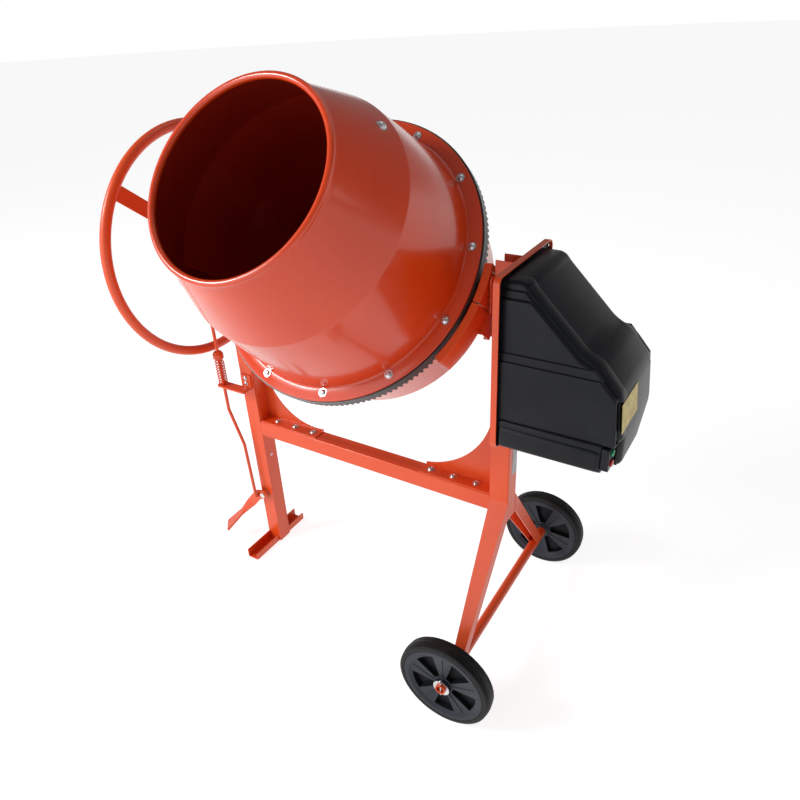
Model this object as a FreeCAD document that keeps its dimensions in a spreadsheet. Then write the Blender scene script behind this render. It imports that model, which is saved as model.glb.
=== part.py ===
"""Electric concrete mixer: a tilting drum in a yoke, on a wheeled stand, with a foot lock.

Millimetres, +Z up.  The origin is on the floor under the middle of the machine.  X runs along the
crossbeam towards the motor, and the drum leans over towards -Y.
"""
import FreeCAD, Part
import math
import os
from FreeCAD import Placement, Rotation, Vector

import Sketcher

doc = FreeCAD.newDocument("concrete_mixer")

# ---------------------------------------------------------------------------------------------
# Driving dimensions, kept in a spreadsheet.  Stand heights are above the floor.  Drum heights are
# along the drum's own axis, above (or, for heel, floor and hub, below) the tilt axis.
# ---------------------------------------------------------------------------------------------
DIMENSIONS = [
    ("middle_x", -69, "middle between the posts, from the origin"),
    ("middle_y", 66, "middle plane of the stand, from the origin"),
    ("pivot_height", 1033, "tilt axis above the floor"),
    ("tilt", 51, "lean of the drum axis from upright, degrees"),
    ("drum_shift", 5, "drum axis, from the middle between the posts"),
    ("close_gap", 0.3, "gap between curved faces that meet"),
    ("running_gap", 0.05, "radial gap of a shaft in its bearing"),
    ("bolt_gap", 0.25, "radial gap of a bolt in its hole"),
    # stand
    ("post_gap", 782, "clear width between the posts"),
    ("post_size", 50, "side of the posts"),
    ("post_sheet", 3, "sheet of the posts, legs and gussets"),
    ("left_post_rise", 42, "left post's top above the tilt axis"),
    ("right_post_end", 416, "lower end of the right post"),
    ("beam_top", 484, "top of the crossbeam"),
    ("beam_size", 50, "side of the crossbeam"),
    ("beam_wall", 3, "wall of the crossbeam"),
    ("left_gusset_radius", 166, "hollow of the left gusset"),
    ("right_gusset_radius", 232, "hollow of the right gusset"),
    ("gusset_foot", 213, "length of the gussets' feet on the beam"),
    ("gusset_bolt_first", 52, "first gusset bolt, from the post"),
    ("gusset_bolt_step", 68, "step of the gusset bolts"),
    ("foot_length", 245, "length of the foot channel"),
    ("foot_forward", 136, "front end of the foot channel, before the middle plane"),
    ("foot_width", 40, "width of the foot channel"),
    ("foot_height", 30, "height of the foot channel's rear flange"),
    ("foot_lip", 24, "height of the foot channel's other flange"),
    ("leg_top_width", 50, "width of a wheel leg at the post"),
    ("leg_end_width", 27, "width of a wheel leg at the axle"),
    ("leg_top", 474, "height where the legs leave the post"),
    ("leg_depth", 34, "depth of the legs' folded sides at the post"),
    ("leg_end_depth", 30, "depth of the legs' folded sides at the axle"),
    ("axle_radius", 13.5, "axle tube, outer radius"),
    ("axle_wall", 2.6, "wall of the axle tube"),
    ("axle_offset", 29, "axle, from the right post's inner face"),
    # wheels
    ("wheel_radius", 125, "outer radius of the tyres"),
    ("tyre_section", 27, "tyre's radial height"),
    ("wheel_width", 42, "width of the tyres"),
    ("wheel_face", 351, "outer face of the wheels, from the middle plane"),
    ("hub_radius", 23, "radius of the wheel's hub"),
    ("hub_length", 46, "length of the wheel's hub"),
    ("disc_sheet", 4, "wall of the wheel's disc"),
    ("wheel_spokes", 5, "raised sectors of the wheel's disc"),
    # drum
    ("mouth_height", 458, "plane of the mouth's rolled edge"),
    ("mouth_radius", 210, "centre line of the mouth's rolled edge"),
    ("bead_radius", 7.5, "section radius of the mouth's rolled edge"),
    ("shoulder_height", 291, "fold between the drum's wall and its cone"),
    ("shoulder_radius", 284, "radius of that fold"),
    ("wall_radius", 318.5, "drum's wall at the flanges"),
    ("flange_height", 65, "meeting face of the two flanges"),
    ("flange_radius", 352, "outer radius of the flanges"),
    ("drum_sheet", 2.5, "sheet of the drum"),
    ("heel_depth", 169, "edge of the drum's bottom"),
    ("heel_radius", 304, "radius of that edge"),
    ("floor_depth", 240, "flat floor of the drum"),
    ("floor_radius", 120, "radius of that floor"),
    ("flange_bolt_circle", 331, "radius of the flange bolt circle"),
    ("flange_bolt_count", 12, "flange bolts"),
    ("flange_bolt_start", 11.6, "first flange bolt, degrees from +X"),
    ("bolt_radius", 4, "shank of the flange and frame bolts"),
    ("bolt_head_radius", 7.5, "head of those bolts"),
    ("bolt_head", 5.5, "height of those heads"),
    # ring gear and pinion
    ("ring_teeth", 156, "teeth of the ring gear"),
    ("ring_segments", 4, "cast segments of the ring gear"),
    ("ring_inner", 323, "inner radius of the ring gear"),
    ("ring_outer", 356, "outer radius of the ring gear"),
    ("ring_root", 40, "root plane of its teeth, above the tilt axis"),
    ("tooth_tip", 31.5, "tip plane of its teeth"),
    ("pinion_teeth", 16, "teeth of the pinion"),
    ("pinion_tip", 38.5, "tip radius of the pinion"),
    ("pinion_root", 29.5, "root radius of the pinion"),
    ("shaft_radius", 10, "pinion shaft"),
    # yoke
    ("arm_reach", 366, "inner face of the yoke's arms, from the drum axis"),
    ("arm_sheet", 8, "thickness of the yoke"),
    ("arm_width", 70, "width of the yoke"),
    ("arm_rise", 36, "top of the arms above the tilt axis"),
    ("yoke_depth", 322, "inner face of the yoke's bottom, below the tilt axis"),
    ("yoke_bend", 45, "inner radius of the yoke's bends"),
    ("left_trunnion_radius", 17.5, "left trunnion shaft"),
    ("right_trunnion_radius", 18, "right trunnion tube"),
    ("trunnion_bore", 13, "bore of the right trunnion"),
    ("spindle_radius", 15, "drum spindle"),
    ("hub_flange_radius", 74, "flange of the drum hub"),
    ("hub_tube_radius", 38, "tube of the drum hub"),
    ("bearing_outer", 31, "outer radius of the spindle bearings"),
    ("bearing_width", 16, "width of the spindle bearings"),
    # guard
    ("guard_inner", 361, "inner edge of the gear guard"),
    ("guard_outer", 380, "outer face of the gear guard"),
    ("guard_sheet", 2, "sheet of the gear guard"),
    ("guard_top", 58, "top of the gear guard, above the tilt axis"),
    ("guard_skirt", 61, "height of its outer wall"),
    ("guard_low_angle", -31, "lower end of the guard, degrees"),
    ("guard_joint_angle", -8, "joint between its two pieces, degrees"),
    ("guard_high_angle", 6, "upper end of the guard, degrees"),
    # handwheel and lock
    ("handwheel_gap", 83, "handwheel's plane, from the left post's outer face"),
    ("handwheel_radius", 312.5, "centre line of the handwheel's rim"),
    ("rim_radius", 13.5, "section radius of the handwheel's rim"),
    ("spoke_width", 40, "width of the handwheel's flat bar"),
    ("spoke_sheet", 6, "thickness of that bar"),
    ("lock_gap", 51, "plane of the lock disc and rod, from the same face"),
    ("lock_disc_radius", 110, "radius of the lock disc"),
    ("lock_disc_sheet", 8, "thickness of the lock disc"),
    ("rod_radius", 5, "lock rod"),
    ("rod_forward", 50, "lock rod, before the middle plane"),
    ("rod_drop", 101, "top of the lock rod, below the tilt axis"),
    ("bracket_height", 602, "underside of the lock bracket"),
    ("bracket_sheet", 5, "thickness of the lock bracket"),
    ("bracket_width", 34, "width of the lock bracket"),
    ("spring_coil_radius", 12.5, "centre line of the lock spring"),
    ("spring_wire", 1.8, "radius of its wire"),
    ("spring_length", 82, "length of the lock spring"),
    ("spring_turns", 9, "turns of the lock spring"),
    ("collar_radius", 16, "radius of the spring collar"),
    ("pedal_pivot_height", 200, "pedal's pivot"),
    ("pedal_inset", 22, "pedal's pivot, inside the left post's outer face"),
    ("pedal_arm", 25, "pedal pivot to the rod"),
    ("pedal_sheet", 6, "thickness of the pedal bar"),
    ("pedal_width", 32, "width of the pedal bar"),
    # drive
    ("plate_width", 290, "width of the backplate"),
    ("plate_rise", 85, "top of the backplate, above the tilt axis"),
    ("plate_drop", 317, "bottom of the backplate, below the tilt axis"),
    ("plate_rim", 14, "depth of the backplate's folded rim"),
    ("plate_sheet", 3, "sheet of the backplate"),
    ("cover_depth", 263, "depth of the cover, from the backplate's rim"),
    ("cover_wall", 3, "wall of the cover"),
    ("cover_inset", 12, "cover's sides, inside the backplate's rim"),
    ("pulley_radius", 64, "running radius of the large pulley"),
    ("motor_pulley_radius", 15, "running radius of the motor pulley"),
    ("pulley_width", 18, "width of the pulleys"),
    ("pulley_offset", 22, "pulleys, from the backplate's rim"),
    ("belt_thickness", 4, "thickness of the belt"),
    ("motor_height", 833, "motor's axis above the floor"),
    ("motor_radius", 60, "outer radius of the motor"),
    ("motor_length", 170, "length of the motor"),
    ("motor_bore", 37, "bore of the motor's stator"),
    ("motor_shaft_radius", 7, "motor shaft"),
    ("button_radius", 8, "push buttons"),
    ("button_travel", 3, "travel of the push buttons"),
]

sheet = doc.addObject("Spreadsheet::Sheet", "sizes")
for line, (alias, number, meaning) in enumerate(DIMENSIONS, 1):
    sheet.set(f"A{line}", "'" + meaning)
    sheet.set(f"B{line}", str(number))
    sheet.setAlias(f"B{line}", alias)
doc.recompute()


class Size:
    """A number together with the spreadsheet formula that gives it."""

    def __init__(self, value, text=None):
        self.value = float(value)
        self.text = text if text else repr(float(value))

    def joined(self, other, sign, value, swap=False):
        first, second = (other, self) if swap else (self, other)
        return Size(value, f"({first.text} {sign} {second.text})")

    def __add__(self, other):
        other = size(other)
        return self.joined(other, "+", self.value + other.value)

    def __sub__(self, other):
        other = size(other)
        return self.joined(other, "-", self.value - other.value)

    def __mul__(self, other):
        other = size(other)
        return self.joined(other, "*", self.value * other.value)

    def __truediv__(self, other):
        other = size(other)
        return self.joined(other, "/", self.value / other.value)

    def __radd__(self, other):
        return size(other) + self

    def __rsub__(self, other):
        return size(other) - self

    def __rmul__(self, other):
        return size(other) * self

    def __neg__(self):
        return Size(-self.value, f"(0 - {self.text})")


def size(value):
    """The value as a Size, so that plain numbers and sizes mix."""
    return value if isinstance(value, Size) else Size(value)


def cosine(angle):
    """Cosine of an angle in degrees."""
    angle = size(angle)
    return Size(math.cos(math.radians(angle.value)), f"cos({angle.text})")


def sine(angle):
    """Sine of an angle in degrees."""
    angle = size(angle)
    return Size(math.sin(math.radians(angle.value)), f"sin({angle.text})")


class Sheet:
    """The spreadsheet's cells by alias, each as a Size."""

    def __getattr__(self, alias):
        return Size(sheet.get(alias), f"{sheet.Name}.{alias}")


S = Sheet()


def bind(thing, name, value):
    """Sets a property, and ties it to the spreadsheet where the value has a formula."""
    value = size(value)
    if "." not in name and "[" not in name:
        setattr(thing, name, value.value)
    if sheet.Name in value.text:
        thing.setExpression(name, value.text)


# ---------------------------------------------------------------------------------------------
# Frames.  The stand is modelled from the middle between the posts, at the floor.  The drum and the
# yoke are modelled upright about the drum's axis, from the tilt axis, and then leaned over.
# ---------------------------------------------------------------------------------------------
POSTS_X = S.post_gap / 2
POST_FACE = POSTS_X + S.post_size
AXLE_X = POSTS_X + S.axle_offset
HANDWHEEL_X = POST_FACE + S.handwheel_gap
LOCK_X = POST_FACE + S.lock_gap
PEDAL_X = POST_FACE - S.pedal_inset
ROD_TOP = S.pivot_height - S.rod_drop
PLATE_TOP = S.pivot_height + S.plate_rise
PLATE_BOTTOM = S.pivot_height - S.plate_drop
DRUM_X = S.middle_x + S.drum_shift


def stand(thing, x=0, y=0, z=0):
    """Places a piece of the stand, with its own origin at x, y, z from the posts' middle."""
    for axis, value in (("x", S.middle_x + x), ("y", S.middle_y + y), ("z", size(z))):
        setattr(thing.Placement.Base, axis, value.value)
        thing.setExpression(f"Placement.Base.{axis}", value.text)
    return thing


def lean(thing, along=0, turn=0):
    """Places a piece of the drum or yoke: turned about the drum's axis, lifted along it, leaned."""
    along = size(along)
    spot = Vector(0, 0, along.value)
    about_axis = Placement(Vector(), Rotation(Vector(0, 0, 1), turn))
    tip = Placement(Vector(), Rotation(Vector(1, 0, 0), S.tilt.value))
    thing.Placement = tip.multiply(Placement(spot, Rotation())).multiply(about_axis)
    thing.setExpression("Placement.Base.x", DRUM_X.text)
    thing.setExpression("Placement.Base.y", (S.middle_y - along * sine(S.tilt)).text)
    thing.setExpression("Placement.Base.z", (S.pivot_height + along * cosine(S.tilt)).text)
    if turn == 0:
        thing.setExpression("Placement.Rotation.Angle", S.tilt.text)
    return thing


def body(label):
    """An empty part design body, which becomes one sub-part."""
    thing = doc.addObject("PartDesign::Body", label)
    thing.Label = label
    return thing


def plane(owner, role):
    """One of the body's own origin planes."""
    return [f for f in owner.Origin.OriginFeatures if f.Role == role][0]


def sketch(owner, role, away=0):
    """A sketch on one of the body's planes, moved along that plane's normal."""
    thing = owner.newObject("Sketcher::SketchObject", f"{owner.Label}_sketch")
    thing.AttachmentSupport = (plane(owner, role), "")
    thing.MapMode = "FlatFace"
    away = size(away)
    thing.AttachmentOffset = Placement(Vector(0, 0, away.value), Rotation())
    if sheet.Name in away.text:
        thing.setExpression("AttachmentOffset.Base.z", away.text)
    return thing


def apply_rules(drawing, rules):
    """Adds a list of (constraint, size) to a sketch in one go, and binds the ones with a size."""
    first = drawing.ConstraintCount
    drawing.addConstraint([rule for rule, _ in rules])
    for k, (_, value) in enumerate(rules, first):
        if value is not None:
            bind(drawing, f"Constraints[{k}]", value)


def pins(corner, where, x, y):
    """Rules that hold a sketch point at x, y from the sketch's origin."""
    return [
        (Sketcher.Constraint(kind, -1, 1, corner, where, size(value).value), size(value))
        for kind, value in (("DistanceX", x), ("DistanceY", y))]


def outline(drawing, corners):
    """A closed outline of straight edges.  A corner with a third value, a radius, is reached by an
    arc of that radius, which bulges to the right of its chord, or to the left if negative."""
    first = drawing.GeometryCount
    count = len(corners)
    ends = [Vector(size(c[0]).value, size(c[1]).value, 0) for c in corners]
    radii = [size(c[2]) if len(c) == 3 else None for c in corners]
    for k in range(count):
        start, stop = ends[k], ends[(k + 1) % count]
        radius = radii[(k + 1) % count]
        if radius is None:
            drawing.addGeometry(Part.LineSegment(start, stop), False)
            continue
        chord = stop - start
        reach = math.sqrt(radius.value ** 2 - (chord.Length / 2) ** 2)
        left = Vector(-chord.y, chord.x, 0).normalize() * math.copysign(reach, radius.value)
        centre = (start + stop) / 2 + left
        first_end, last_end = (start, stop) if radius.value > 0 else (stop, start)
        angles = [math.atan2(end.y - centre.y, end.x - centre.x) for end in (first_end, last_end)]
        whole = Part.Circle(centre, Vector(0, 0, 1), abs(radius.value))
        drawing.addGeometry(Part.ArcOfCircle(whole, *angles), False)
    kept = [radii[(k + 1) % count] is None or radii[(k + 1) % count].value > 0 for k in range(count)]
    rules = []
    for k in range(count):
        after = (k + 1) % count
        tail = 2 if kept[k] else 1
        head = 1 if kept[after] else 2
        rules.append((Sketcher.Constraint("Coincident", first + k, tail, first + after, head), None))
        rules += pins(first + after, head, *corners[after][:2])
        if radii[after] is not None:
            radius = radii[after] if radii[after].value > 0 else -radii[after]
            rules.append((Sketcher.Constraint("Radius", first + k, radius.value), radius))
    apply_rules(drawing, rules)


def circle(drawing, x, y, radius):
    """A circle in a sketch."""
    radius = size(radius)
    centre = Vector(size(x).value, size(y).value, 0)
    edge = drawing.addGeometry(Part.Circle(centre, Vector(0, 0, 1), radius.value), False)
    rule = Sketcher.Constraint("Radius", edge, radius.value)
    apply_rules(drawing, pins(edge, 3, x, y) + [(rule, radius)])


def box_outline(drawing, x_low, y_low, x_high, y_high):
    """A rectangle in a sketch."""
    outline(drawing, [(x_low, y_low), (x_high, y_low), (x_high, y_high), (x_low, y_high)])


def pad(owner, drawing, length, both_ways=False, reverse=False):
    """Adds material to the body."""
    feature = owner.newObject("PartDesign::Pad", f"{owner.Label}_pad")
    feature.Profile = drawing
    bind(feature, "Length", length)
    feature.SideType = "Symmetric" if both_ways else "One side"
    feature.Reversed = reverse
    return feature


def pocket(owner, drawing, length, both_ways=False, reverse=False):
    """Cuts material from the body, and says so if nothing was cut."""
    doc.recompute()
    before = owner.Shape.Volume
    feature = owner.newObject("PartDesign::Pocket", f"{owner.Label}_pocket")
    feature.Profile = drawing
    bind(feature, "Length", length)
    feature.SideType = "Symmetric" if both_ways else "One side"
    feature.Reversed = reverse
    doc.recompute()
    if owner.Shape.Volume > before - 1e-3:
        raise RuntimeError(f"a pocket cut nothing from {owner.Label}")
    return feature


def revolve(owner, drawing):
    """Adds the sketch turned all the way round the sketch's upright axis."""
    feature = owner.newObject("PartDesign::Revolution", f"{owner.Label}_turned")
    feature.Profile = drawing
    feature.ReferenceAxis = (drawing, ["V_Axis"])
    feature.Angle = 360
    return feature


def ring_of(owner, feature, count):
    """Repeats a feature round the body's upright axis."""
    ring = owner.newObject("PartDesign::PolarPattern", f"{owner.Label}_ring")
    ring.Originals = [feature]
    ring.Axis = (plane(owner, "Z_Axis"), "")
    ring.Angle = 360
    ring.Occurrences = round(count.value)
    ring.setExpression("Occurrences", count.text)
    owner.Tip = ring
    return ring


def drill(owner, radius, length, spot, direction):
    """Cuts a round hole from a spot along a direction, both in the body's frame."""
    hole = owner.newObject("PartDesign::SubtractiveCylinder", f"{owner.Label}_hole")
    bind(hole, "Radius", radius)
    bind(hole, "Height", length)
    hole.Placement = Placement(spot, Rotation(Vector(0, 0, 1), direction))
    return hole


def round_edges(owner, radius, wanted):
    """Rounds the body's edges that the test picks out."""
    doc.recompute()
    base = owner.Tip
    names = [f"Edge{k}" for k, edge in enumerate(base.Shape.Edges, 1) if wanted(edge)]
    feature = owner.newObject("PartDesign::Fillet", f"{owner.Label}_round")
    feature.Base = (base, names)
    bind(feature, "Radius", radius)
    return feature


def runs_along(axis):
    """A test for straight edges along an axis."""
    def test(edge):
        if edge.Curve.TypeId != "Part::GeomLine":
            return False
        return abs(edge.Curve.Direction.dot(axis)) > 0.999
    return test


def solid_of(label, shape, place=None):
    """A sub-part whose shape is worked out here."""
    thing = doc.addObject("Part::Feature", label)
    thing.Label = label
    thing.Shape = shape
    if place:
        thing.Placement = place
    return thing


def leaned(x=0.0, y=0.0, z=0.0):
    """The drum's own frame as a placement, at a spot given in that frame."""
    frame = Placement(
        Vector(DRUM_X.value, S.middle_y.value, S.pivot_height.value),
        Rotation(Vector(1, 0, 0), S.tilt.value))
    return frame.multiply(Placement(Vector(x, y, z), Rotation()))


def turned(degrees):
    """A turn about the drum's axis."""
    return Placement(Vector(), Rotation(Vector(0, 0, 1), degrees))


X_AXIS, Y_AXIS, Z_AXIS = Vector(1, 0, 0), Vector(0, 1, 0), Vector(0, 0, 1)


def rod(radius, length, start, direction):
    """A plain round bar."""
    return Part.makeCylinder(float(radius), float(length), start, direction)


def tube(outer, inner, length, start, direction):
    """A plain round tube."""
    return rod(outer, length, start, direction).cut(rod(inner, length, start, direction))


def machine_screw(head_radius, head_height, shank_radius, shank_length, washer=True):
    """A domed screw that points down, with the underside of its head (or washer) at the origin."""
    lift = 1.6 if washer else 0.0
    dome = Part.makeSphere(head_radius * 1.25, Vector(0, 0, lift + head_height - head_radius * 1.25))
    head = rod(head_radius, head_height, Vector(0, 0, lift), Z_AXIS).common(dome)
    socket = Part.makeCylinder(head_radius * 0.42, head_height * 0.5, Vector(0, 0, lift + head_height * 0.6))
    screw = head.cut(socket).fuse(rod(shank_radius, shank_length + lift, Vector(0, 0, -shank_length), Z_AXIS))
    if washer:
        screw = screw.fuse(rod(head_radius * 1.35, lift, Vector(), Z_AXIS))
    return screw.removeSplitter()


# ---------------------------------------------------------------------------------------------
# Stand: posts, foot, beam, gussets, legs, axle
# ---------------------------------------------------------------------------------------------
HALF_POST = S.post_size / 2
SHEET = S.post_sheet
BEAM_BOTTOM = S.beam_top - S.beam_size


def channel(drawing, mouth, width, sheet_size, side):
    """A channel section with its back at x = 0, open towards side * x."""
    half = width / 2
    deep = side * mouth
    back = side * sheet_size
    inner = half - sheet_size
    outline(drawing, [
        (0, -half), (deep, -half), (deep, -inner), (back, -inner),
        (back, inner), (deep, inner), (deep, half), (0, half)])


left_post = stand(body("left_post"), x=-POSTS_X - S.post_size)
section = sketch(left_post, "XY_Plane")
channel(section, S.post_size, S.post_size, SHEET, 1)
pad(left_post, section, S.pivot_height + S.left_post_rise)
round_edges(left_post, 4, lambda e: runs_along(Z_AXIS)(e) and e.Vertexes[0].X < 0.1)
# the foot channel passes through both flanges
FOOT_X = 3.5
for low_x, high_x, high_z in (
        (FOOT_X - S.close_gap, S.post_size + 1, SHEET),
        (FOOT_X - S.close_gap, FOOT_X + SHEET + S.close_gap, S.foot_height + S.close_gap),
        (FOOT_X + S.foot_width - SHEET - S.close_gap, FOOT_X + S.foot_width + S.close_gap,
         S.foot_lip + S.close_gap)):
    notch = sketch(left_post, "XZ_Plane")
    box_outline(notch, low_x, -1, high_x, high_z)
    pocket(left_post, notch, S.post_size * 2, both_ways=True)
# openings for the trunnion and for the lock rod's pedal bolt
opening = sketch(left_post, "YZ_Plane")
circle(opening, 0, S.pivot_height, S.left_trunnion_radius + 1)
pocket(left_post, opening, SHEET * 4, both_ways=True)

liner = stand(body("left_post_liner"), x=-POSTS_X)
section = sketch(liner, "XY_Plane")
channel(section, 22, S.post_size - 2 * SHEET, SHEET, -1)
pad(liner, section, BEAM_BOTTOM)
notch = sketch(liner, "XZ_Plane")
box_outline(notch, -25, -1, -SHEET, S.foot_height + 2)
pocket(liner, notch, S.post_size * 2, both_ways=True)
RIVET_HEIGHT = 348
RIVET_RADIUS = 2.5
drill(liner, RIVET_RADIUS + 0.2, 8, Vector(-4, 0, RIVET_HEIGHT), X_AXIS)

foot = stand(body("left_foot"), x=-POSTS_X - S.post_size + FOOT_X, y=-S.foot_forward)
section = sketch(foot, "XZ_Plane")
outline(section, [
    (0, 0), (S.foot_width, 0), (S.foot_width, S.foot_lip), (S.foot_width - SHEET, S.foot_lip),
    (S.foot_width - SHEET, SHEET), (SHEET, SHEET), (SHEET, S.foot_height), (0, S.foot_height)])
pad(foot, section, S.foot_length, reverse=True)

beam = stand(body("crossbeam"), z=S.beam_top - S.beam_size / 2)
section = sketch(beam, "YZ_Plane")
box_outline(section, -HALF_POST, -HALF_POST, HALF_POST, HALF_POST)
pad(beam, section, S.post_gap, both_ways=True)
round_edges(beam, 5, runs_along(X_AXIS))
hollow = sketch(beam, "YZ_Plane")
inside = HALF_POST - S.beam_wall
box_outline(hollow, -inside, -inside, inside, inside)
pocket(beam, hollow, S.post_gap + 2, both_ways=True)
for side in (-1, 1):
    holes = sketch(beam, "XY_Plane")
    for k in range(3):
        from_post = S.gusset_bolt_first + k * S.gusset_bolt_step
        circle(holes, side * (POSTS_X - from_post), 0, S.bolt_radius + S.bolt_gap)
    pocket(beam, holes, S.beam_size / 2 + 1, reverse=True)


def gusset(label, side, radius):
    """A folded corner plate: a web with a hollow edge, a foot on the beam and a flange on the post.
    Its corner is the body's origin, and it reaches out along side * x and up."""
    plate = stand(body(label), x=-side * POSTS_X, z=S.beam_top)
    half = HALF_POST - SHEET
    lip = 12
    foot_end = S.gusset_foot
    top = radius + lip + SHEET
    web = sketch(plate, "XZ_Plane", away=-half)
    outline(web, [
        (0, 0), (side * foot_end, 0), (side * foot_end, SHEET + lip / 2),
        (side * (lip + SHEET), top, radius * (-1.03 * side)),
        (0, top)])
    pad(plate, web, SHEET)
    for corner_x, corner_z in ((foot_end, SHEET), (SHEET, top)):
        flange = sketch(plate, "XZ_Plane", away=-half)
        box_outline(flange, 0, 0, side * corner_x, corner_z)
        pad(plate, flange, half * 2)
    holes = sketch(plate, "XY_Plane")
    for k in range(3):
        circle(holes, side * (S.gusset_bolt_first + k * S.gusset_bolt_step), 0,
               S.bolt_radius + S.bolt_gap)
    pocket(plate, holes, SHEET + 2, reverse=True)


gusset("left_gusset", 1, S.left_gusset_radius)
gusset("right_gusset", -1, S.right_gusset_radius)

right_post = stand(body("right_post"), x=POSTS_X + S.post_size)
section = sketch(right_post, "XY_Plane", away=S.right_post_end)
channel(section, S.post_size, S.post_size, SHEET, -1)
pad(right_post, section, PLATE_TOP - 8 - S.right_post_end)
round_edges(right_post, 4, lambda e: runs_along(Z_AXIS)(e) and e.Vertexes[0].X > -0.1)
opening = sketch(right_post, "YZ_Plane")
circle(opening, 0, S.pivot_height, S.right_trunnion_radius + 1)
pocket(right_post, opening, SHEET * 4, both_ways=True)

# The legs are tapering channels from the post's lower end to the axle tube.
LEG_FALL = S.leg_top - S.wheel_radius
LEG_RUN = 280 - HALF_POST


def leg(label, side):
    """One wheel leg, on the post's front (side = -1) or rear (side = 1) face."""
    piece = stand(body(label), x=AXLE_X)

    def section_at(out, top, width, depth, centre):
        drawing = sketch(piece, "XZ_Plane", away=-side * out)
        half = width / 2
        web = SHEET * 1.6
        outline(drawing, [
            (centre - half, top - depth), (centre - half, top), (centre + half, top),
            (centre + half, top - depth), (centre + half - SHEET, top - depth),
            (centre + half - SHEET, top - web), (centre - half + SHEET, top - web),
            (centre - half + SHEET, top - depth)])
        return drawing

    post_middle = POSTS_X + HALF_POST - AXLE_X
    upper = section_at(HALF_POST, S.leg_top, S.leg_top_width, S.leg_depth * 1.6, post_middle)
    lower = section_at(
        HALF_POST + LEG_RUN, S.wheel_radius, S.leg_end_width, S.leg_end_depth * 1.6, 0)
    shape = piece.newObject("PartDesign::AdditiveLoft", f"{label}_loft")
    shape.Profile = upper
    shape.Sections = [lower]
    shape.Ruled = True
    low_end = sketch(piece, "YZ_Plane")
    box_outline(low_end, side * 400, 0, 0, S.wheel_radius + 4)
    pocket(piece, low_end, 200, both_ways=True)
    saddle = sketch(piece, "XZ_Plane")
    circle(saddle, 0, S.wheel_radius, S.axle_radius)
    pocket(piece, saddle, 1000, both_ways=True)


leg("front_leg", -1)
leg("rear_leg", 1)

AXLE_END = S.wheel_face + 11
axle = stand(body("axle_tube"), x=AXLE_X, z=S.wheel_radius)
section = sketch(axle, "XZ_Plane")
circle(section, 0, 0, S.axle_radius)
circle(section, 0, 0, S.axle_radius - S.axle_wall)
pad(axle, section, 2 * AXLE_END, both_ways=True)
pin_holes = sketch(axle, "XY_Plane")
PIN_Y = S.wheel_face + 7
for side in (-1, 1):
    circle(pin_holes, 0, side * PIN_Y, 2.2)
pocket(axle, pin_holes, 60, both_ways=True)


# ---------------------------------------------------------------------------------------------
# Wheels: a rubber tyre on a moulded disc with five sunk sectors
# ---------------------------------------------------------------------------------------------
RIM_RADIUS = S.wheel_radius - S.tyre_section


def wheel(name, side):
    """A tyre and its disc, with the outer face towards side * y."""
    middle = side * (S.wheel_face - S.wheel_width / 2)
    half = S.wheel_width / 2

    tyre = stand(body(f"{name}_tyre"), x=AXLE_X, y=middle, z=S.wheel_radius)
    tyre.Placement.Rotation = Rotation(X_AXIS, 90)
    section = sketch(tyre, "XZ_Plane")
    outline(section, [
        (RIM_RADIUS, -half + 2), (S.wheel_radius - 9, -half), (S.wheel_radius - 2.5, -half + 4.5),
        (S.wheel_radius, -half + 12), (S.wheel_radius, half - 12),
        (S.wheel_radius - 2.5, half - 4.5), (S.wheel_radius - 9, half), (RIM_RADIUS, half - 2)])
    revolve(tyre, section)
    for k in range(-2, 3):
        groove_line = sketch(tyre, "XZ_Plane")
        level = k * S.wheel_width / 9
        box_outline(groove_line, S.wheel_radius - 1.6, level - 0.8, S.wheel_radius + 1, level + 0.8)
        groove = tyre.newObject("PartDesign::Groove", f"{name}_tread")
        groove.Profile = groove_line
        groove.ReferenceAxis = (groove_line, ["V_Axis"])
        groove.Angle = 360

    disc = stand(body(f"{name}_disc"), x=AXLE_X, y=middle, z=S.wheel_radius)
    disc.Placement.Rotation = Rotation(X_AXIS, 90)
    bore = S.axle_radius + S.running_gap
    sunk = 7
    section = sketch(disc, "XZ_Plane")
    outline(section, [
        (bore, -S.hub_length / 2), (S.hub_radius, -S.hub_length / 2),
        (S.hub_radius, -half + 3 + sunk), (RIM_RADIUS - 5, -half + 3 + sunk),
        (RIM_RADIUS - 5, -half + 2), (RIM_RADIUS, -half + 2), (RIM_RADIUS, half - 2),
        (RIM_RADIUS - 5, half - 2), (RIM_RADIUS - 5, half - 3 - sunk),
        (S.hub_radius, half - 3 - sunk), (S.hub_radius, S.hub_length / 2),
        (bore, S.hub_length / 2)])
    revolve(disc, section)
    spoke_line = sketch(disc, "XY_Plane", away=half - 3 - sunk - 1)
    inner = S.hub_radius - 3
    outer = RIM_RADIUS - 3
    outline(spoke_line, [
        (inner * cosine(-17), inner * sine(-17)), (outer * cosine(-17), outer * sine(-17)),
        (outer * cosine(17), outer * sine(17), outer), (inner * cosine(17), inner * sine(17))])
    spoke = pad(disc, spoke_line, sunk)
    ring_of(disc, spoke, S.wheel_spokes)


wheel("front_wheel", -1)
wheel("rear_wheel", 1)


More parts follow.
